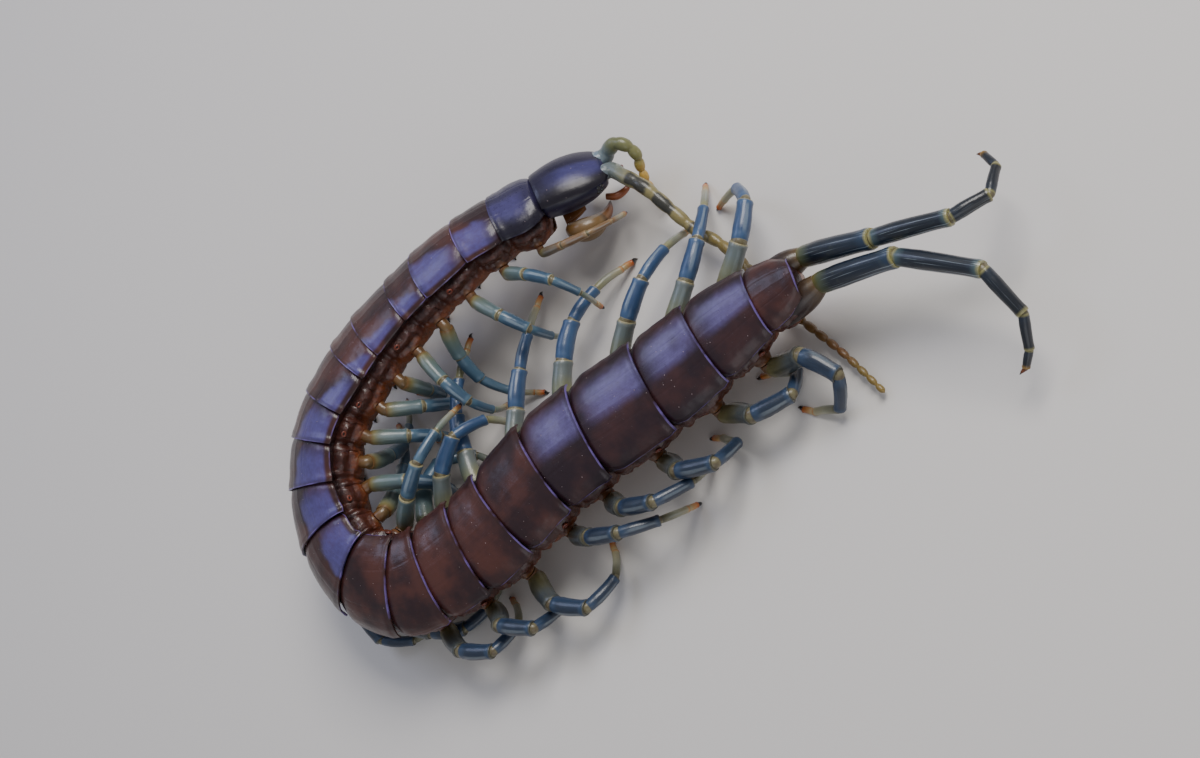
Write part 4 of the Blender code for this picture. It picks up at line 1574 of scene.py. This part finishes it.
@dataclass
class Head:
    """The head: its capsule, the shield on top, the eyes, and the mouthparts under it."""

    plan: BodyPlan
    widths: Stations = ((0, 4.7), (1.2, 5.2), (2.9, 5.4), (4.4, 4.9), (5.3, 4.0), (5.7, 3.3))
    depths: Stations = ((0, 2.9), (1.5, 3.3), (2.9, 3.2), (4.4, 2.5), (5.3, 1.8), (5.7, 1.4))
    length: float = 5.7
    neck: float = 0.7
    lift: float = 0.75
    pitch: float = 25
    roll: float = 14
    outline: Outline = (
        (0.0, 0.50), (0.34, 0.475), (0.62, 0.405), (0.82, 0.31), (0.93, 0.20),
        (0.97, 0.08), (0.96, -0.06), (0.90, -0.20), (0.78, -0.35), (0.58, -0.47), (0.0, -0.50),
    )
    capsule: float = 0.97
    eyes: Points = (
        (4.45, 2.2, 0.95), (4.75, 2.05, 0.95), (4.42, 2.25, 0.6), (4.72, 2.12, 0.6),
    )
    eye_radius: float = 0.2
    plate: Points = ((0.95, 1.7, 1.0), (1.5, 1.6, 1.0), (2.1, 1.35, 0.9), (2.9, 0.8, 0.7))
    plate_up: float = -1.75
    claw_points: Points = (
        (1.1, 2.2, -1.8), (1.45, 2.75, -1.75), (2.0, 3.1, -1.7), (2.9, 3.15, -1.75),
        (3.5, 2.85, -1.85), (4.1, 2.3, -2.0), (4.6, 1.6, -2.1), (4.9, 0.9, -2.1),
    )
    claw_radii: tuple[float, ...] = (0.6, 0.85, 1.0, 0.95, 0.75, 0.52, 0.35, 0.12)
    palp_points: Points = ((4.8, 1.2, -1.15), (5.6, 1.6, -1.2), (6.4, 1.5, -1.1), (7.0, 1.15, -1.0))
    palp_radii: tuple[float, ...] = (0.28, 0.34, 0.28, 0.16)

    def __post_init__(self) -> None:
        """Measures the outline."""
        self.section = section_of(self.outline)

    def frame(self, forward: float) -> Frame:
        """The frame of the head at a distance in front of the trunk."""
        neck = self.plan.frame(0)
        pitch = math.radians(self.pitch)
        level = Vector((-neck.rear.x, -neck.rear.y, 0)).normalized()
        ahead = level * math.cos(pitch) - UP * math.sin(pitch)
        return Frame(neck.centre + ahead * forward, -ahead, self.roll)

    def at(self, forward: float, left: float, up: float) -> Vector:
        """A point in the frame of the head."""
        return self.frame(forward).at(left, up)

    def capsule_ring(self, share: float) -> Place:
        """The ring of the capsule at a share of the way forward."""
        forward = share * (self.length + self.neck) - self.neck
        frame = self.frame(forward)
        round_off = math.sqrt(max(1 - (max(share - 0.94, 0.0) / 0.065) ** 2, 0.0))
        round_off *= 0.5 + 0.5 * rise(forward, -self.neck, 0.0)
        half = blend(self.widths, forward) / 2 * self.capsule * round_off
        deep = blend(self.depths, forward) * self.capsule * round_off

        def point(around: float) -> Vector:
            """The capsule's point at a share of the way round."""
            side, part = mirrored(around)
            flat = blend(self.section, part)
            return frame.at(side * flat.x * half, flat.y * deep + self.lift)

        return point

    def shield_row(self, share: float) -> Place:
        """The row of the shield at a share of the way forward."""
        forward = -0.3 + share * (self.length + 0.22)
        frame = self.frame(forward)
        half, deep = blend(self.widths, forward) / 2, blend(self.depths, forward)

        def point(across: float) -> Vector:
            """The shield's point at a share of the way across."""
            signed = 2 * across - 1
            edge = abs(signed)
            flat = blend(self.section, edge * self.plan.margin_share)
            flat = Vector((flat.x * half, flat.y * deep))
            lift = 0.04 - 0.12 * rise(share, 0.95, 1.0) - 0.08 * (1 - rise(share, 0.0, 0.04))
            flat += flat.normalized() * (lift + 0.02 * noise.noise(frame.at(signed, 0) * 0.8))
            left = math.copysign(flat.x, signed) if edge else 0.0
            return frame.at(left, flat.y + self.lift)

        return point

    def build_shell(self) -> None:
        """Builds the capsule, the shield and the eyes."""
        capsule = Piece("head_capsule")
        capsule.tube(48, 80, self.capsule_ring, HEAD_PLATE)
        capsule.finish("head_shell", "head")
        shield = Piece("head_shield")
        shield.shell(48, 80, self.shield_row, HEAD_PLATE, 0.06)
        shield.finish("head_shell")
        eyes = Piece("eyes")
        up = self.frame(0).up
        for side in Side:
            outward = (self.frame(0).left * side.value + up * 0.4).normalized()
            for forward, out, height in self.eyes:
                centre = self.at(forward, side.value * out, height)
                radius = self.eye_radius
                shoulder, tip = centre + outward * radius * 0.5, centre + outward * radius * 0.8
                points = (centre - outward * 0.12, centre, shoulder, tip)
                eyes.tube(10, 16, Tube(points, (radius, radius, radius * 0.75, 0.0), up).ring_at, EYE)
        eyes.finish("head_shell")

    def plate_ring(self, share: float) -> Place:
        """The ring of the plate under the head."""
        stations = [(forward, Vector((half, deep))) for forward, half, deep in self.plate]
        forward = stations[0][0] + share * (stations[-1][0] - stations[0][0])
        half, deep = blend(stations, forward)
        frame = self.frame(forward)

        def point(around: float) -> Vector:
            """The plate's point at a share of the way round."""
            side, part = mirrored(around)
            flat = self.plan.across_up(part, half, deep)
            return frame.at(side * flat.x, flat.y + self.plate_up)

        return point

    def build_mouthparts(self) -> None:
        """Builds the plate, the two venom claws and the two palps."""
        amber = PlateFinish(
            "mouthpart_shell",
            deep=tone(110, 62, 28),
            warm=tone(140, 92, 46),
            bloom=tone(170, 124, 80),
            rim=tone(120, 60, 30),
            speck=tone(210, 190, 160),
            rim_share=0.3,
        )
        plate = Piece("mouth_plate")
        plate.tube(16, 48, self.plate_ring, amber)
        plate.finish("mouthpart", "forcipule_plate")
        fang = LimbFinish(
            "venom_claw_shell",
            (
                (0.0, tone(100, 72, 38)),
                (0.5, tone(118, 90, 50)),
                (0.57, tone(54, 26, 16)),
                (0.61, tone(120, 78, 42)),
                (0.85, RUST),
                (1.0, BLACK),
            ),
            tone(122, 98, 62),
            0.3,
            silver=0.25,
        )
        palp = LimbFinish(
            "palp_shell",
            ((0.0, tone(120, 70, 38)), (0.6, tone(150, 80, 38)), (1.0, tone(104, 46, 22))),
            RUST,
            0.3,
        )
        for side in Side:
            node = f"forcipule_{side.label}"
            self.add_limb("venom_claw", node, side, self.claw_points, self.claw_radii, fang)
            self.add_limb("feeding_palp", f"palp_{side.label}", side, self.palp_points, self.palp_radii, palp)

    def add_limb(
        self,
        name: str,
        node: str,
        side: Side,
        places: Points,
        radii: Sequence[float],
        finish: Finish,
    ) -> None:
        """Builds one limb of the mouth.

        Args:
            name: The piece's name without its side.
            node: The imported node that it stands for.
            side: Which side it is on.
            places: Points along it, in the frame of the head.
            radii: Its radius at each point.
            finish: What it is finished with.
        """
        points = [self.at(forward, side.value * out, up) for forward, out, up in places]
        tube = Tube(points, radii, self.frame(0).up, 0.9)
        piece = Piece(f"{name}_{side.label}")
        piece.tube(48, 28, tube.ring_at, finish)
        piece.finish("mouthpart", node)


@dataclass
class Studio:
    """The floor, the soft lights and the camera."""

    target: Point = (-2.91, 1.53, 4.0)
    distance: float = 156.25
    elevation: float = 50
    roll: float = 70
    lens: float = 60

    def build_floor(self) -> None:
        """Builds the plain floor."""
        form = bmesh.new()
        bmesh.ops.create_grid(form, x_segments=1, y_segments=1, size=0.6)
        mesh = bpy.data.meshes.new("floor")
        form.to_mesh(mesh)
        form.free()
        mesh.materials.append(FloorFinish().material())
        floor = bpy.data.objects.new("floor", mesh)
        bpy.context.scene.collection.objects.link(floor)

    def add_light(
        self, name: str, direction: Point, distance: float, size: float, power: float, colour: Colour
    ) -> None:
        """Adds one soft box.

        Args:
            name: The light's name.
            direction: Where it stands, seen from the animal.
            distance: How far off it stands, in millimetres.
            size: The length of its sides, in millimetres.
            power: Its power in watts.
            colour: Its colour.
        """
        data = bpy.data.lights.new(name, "AREA")
        data.shape = "SQUARE"
        data.size = size * MM
        data.energy = power
        data.color = colour
        light = bpy.data.objects.new(name, data)
        light.location = (Vector(self.target) + Vector(direction).normalized() * distance) * MM
        light.rotation_euler = Vector(direction).to_track_quat("Z", "Y").to_euler()
        bpy.context.scene.collection.objects.link(light)

    def build_lights(self) -> None:
        """Adds the soft boxes and the pale surroundings."""
        self.add_light("sky_box", (-0.6, 0.15, 0.78), 260, 110, 0.13, (0.6, 0.68, 1.0))
        self.add_light("key_box", (0.1, 0.7, 0.8), 260, 130, 0.6, (1.0, 0.97, 0.93))
        self.add_light("fill_box", (0.8, -0.5, 0.4), 300, 200, 0.14, (0.95, 0.97, 1.0))
        world = bpy.data.worlds.new("studio")
        world.use_nodes = True
        world.node_tree.nodes["Background"].inputs["Color"].default_value = (0.82, 0.84, 0.9, 1)
        world.node_tree.nodes["Background"].inputs["Strength"].default_value = 0.42
        bpy.context.scene.world = world

    def build_camera(self) -> None:
        """Places the camera where the photograph was taken from."""
        data = bpy.data.cameras.new("camera")
        data.lens = self.lens
        data.sensor_width = 36
        data.clip_start = 0.001
        data.clip_end = 10
        camera = bpy.data.objects.new("camera", data)
        tilt, roll = math.radians(self.elevation), math.radians(self.roll)
        back = Vector((math.cos(tilt), 0, math.sin(tilt)))
        level, upright = Vector((0, 1, 0)), Vector((-math.sin(tilt), 0, math.cos(tilt)))
        right = level * math.cos(roll) - upright * math.sin(roll)
        up = level * math.sin(roll) + upright * math.cos(roll)
        turn = Matrix((right, up, back)).transposed().to_4x4()
        place = Vector(self.target) + back * self.distance
        camera.matrix_world = Matrix.Translation(place * MM) @ turn
        bpy.context.scene.collection.objects.link(camera)
        bpy.context.scene.camera = camera


# Where each walking leg stands, from the first to the last: x, y and height of its foot, and the turn of its
# knee in degrees. A program fitted these rows to the photo, and they were not chosen by hand.
STANDS = {
    Side.RIGHT: (
        (-5.3, 13.3, 1.8, 19), (-4.0, 5.4, 1.8, 38), (-8.8, 2.4, 0, 17), (-7.9, -2.4, 0, -106),
        (-11.7, -4.5, 0, -5), (-22.6, -6.6, 0, 62), (-19.1, -6.8, 0, 25), (-18.2, -9.8, 0, 17),
        (-23.3, -7.3, 0, -92), (-15.5, -14.6, 0, 0), (-23.3, -9.6, 0, -77), (-12.0, -5.7, 5.0, -28),
        (-8.3, -10.1, 0, 42), (-8.6, -5.9, 0, -22), (-15.3, 0.0, 3.3, 25), (-11.3, 5.2, 1.3, -35),
        (-3.9, 10.2, 0, 3), (0.7, 14.1, 0, -47), (0.0, 17.5, 0, -76), (2.0, 15.6, 0, -66),
    ),
    Side.LEFT: (
        (-16.5, 7.1, 0, 0), (-19.3, 3.8, 0, 4), (-21.4, 0.2, 0, 8), (-23.2, -3.2, 0, 12),
        (-24.7, -6.9, 0, 12), (-25.6, -10.3, 0, 13), (-24.4, -15.4, 0, 21), (-21.2, -18.1, 0, 27),
        (-18.9, -20.7, 0, 27), (-15.1, -22.9, 0, 29), (-10.1, -22.4, 0, 30), (-5.9, -16.2, 0, 46),
        (-4.4, -19.0, 0, 1), (-1.8, -18.0, 0, -12), (3.3, -11.5, 0, 15), (10.4, -6.2, 0, -20),
        (10.1, -2.8, 0, -16), (9.0, -1.4, 0, -15), (11.2, 4.1, 0, -3), (15.7, 3.0, 0, -53),
    ),
}
# The points of the last legs and of the feelers: picked in the photo, with heights chosen one by one. A program
# turned most of them into millimetres.
ULTIMATE_JOINTS = {
    Side.RIGHT: (
        (14.8, 13.4, 4.8), (21.0, 15.9, 6.2), (26.6, 18.7, 6.4), (28.4, 21.0, 5.6), (27.5, 23.2, 4.6),
        (25.9, 23.9, 4.1), (25.2, 23.8, 3.9),
    ),
    Side.LEFT: (
        (17.0, 11.9, 4.8), (23.4, 15.1, 6.2), (30.3, 15.8, 6.2), (33.3, 13.9, 4.4), (33.9, 11.8, 3.0),
        (33.8, 10.6, 2.4), (33.4, 10.0, 2.2),
    ),
}
ANTENNA_ROUTES = {
    Side.RIGHT: (
        (-4.7, 15.8, 4.4), (-2.4, 15.4, 4.1), (0.1, 14.4, 3.1), (2.4, 13.5, 2.2), (4.6, 13.1, 1.7),
        (7.8, 11.9, 1.4), (13.4, 9.5, 1.0), (18.4, 7.9, 0.9), (22.8, 6.1, 0.6),
    ),
    Side.LEFT: (
        (-7.0, 17.6, 4.4), (-6.3, 18.1, 4.7), (-5.5, 18.2, 4.4), (-4.9, 17.9, 3.6), (-4.7, 17.0, 2.6),
        (-4.0, 15.9, 1.6), (-2.4, 15.0, 1.1),
    ),
}


def main() -> None:
    """Builds the animal and the studio."""
    logging.basicConfig(level=logging.INFO, format="%(name)s %(message)s")
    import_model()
    plan = BodyPlan()
    head = Head(plan)
    legs = [
        WalkingLeg(plan, side, number, stand)
        for side, stands in STANDS.items()
        for number, stand in enumerate(stands, 1)
    ]
    last_legs = [UltimateLeg(side, ULTIMATE_JOINTS[side]) for side in Side]
    trunk = Trunk(plan)
    trunk.build_skin(legs, last_legs)
    trunk.build_back_plates()
    trunk.build_belly_plates()
    trunk.build_spiracles()
    for leg in legs:
        leg.build()
    for last_leg in last_legs:
        last_leg.build()
    for look in AntennaLook:
        Antenna(head, look, ANTENNA_ROUTES[look.side]).build()
    head.build_shell()
    head.build_mouthparts()
    studio = Studio()
    studio.build_floor()
    studio.build_lights()
    studio.build_camera()


if __name__ == "__main__":
    main()
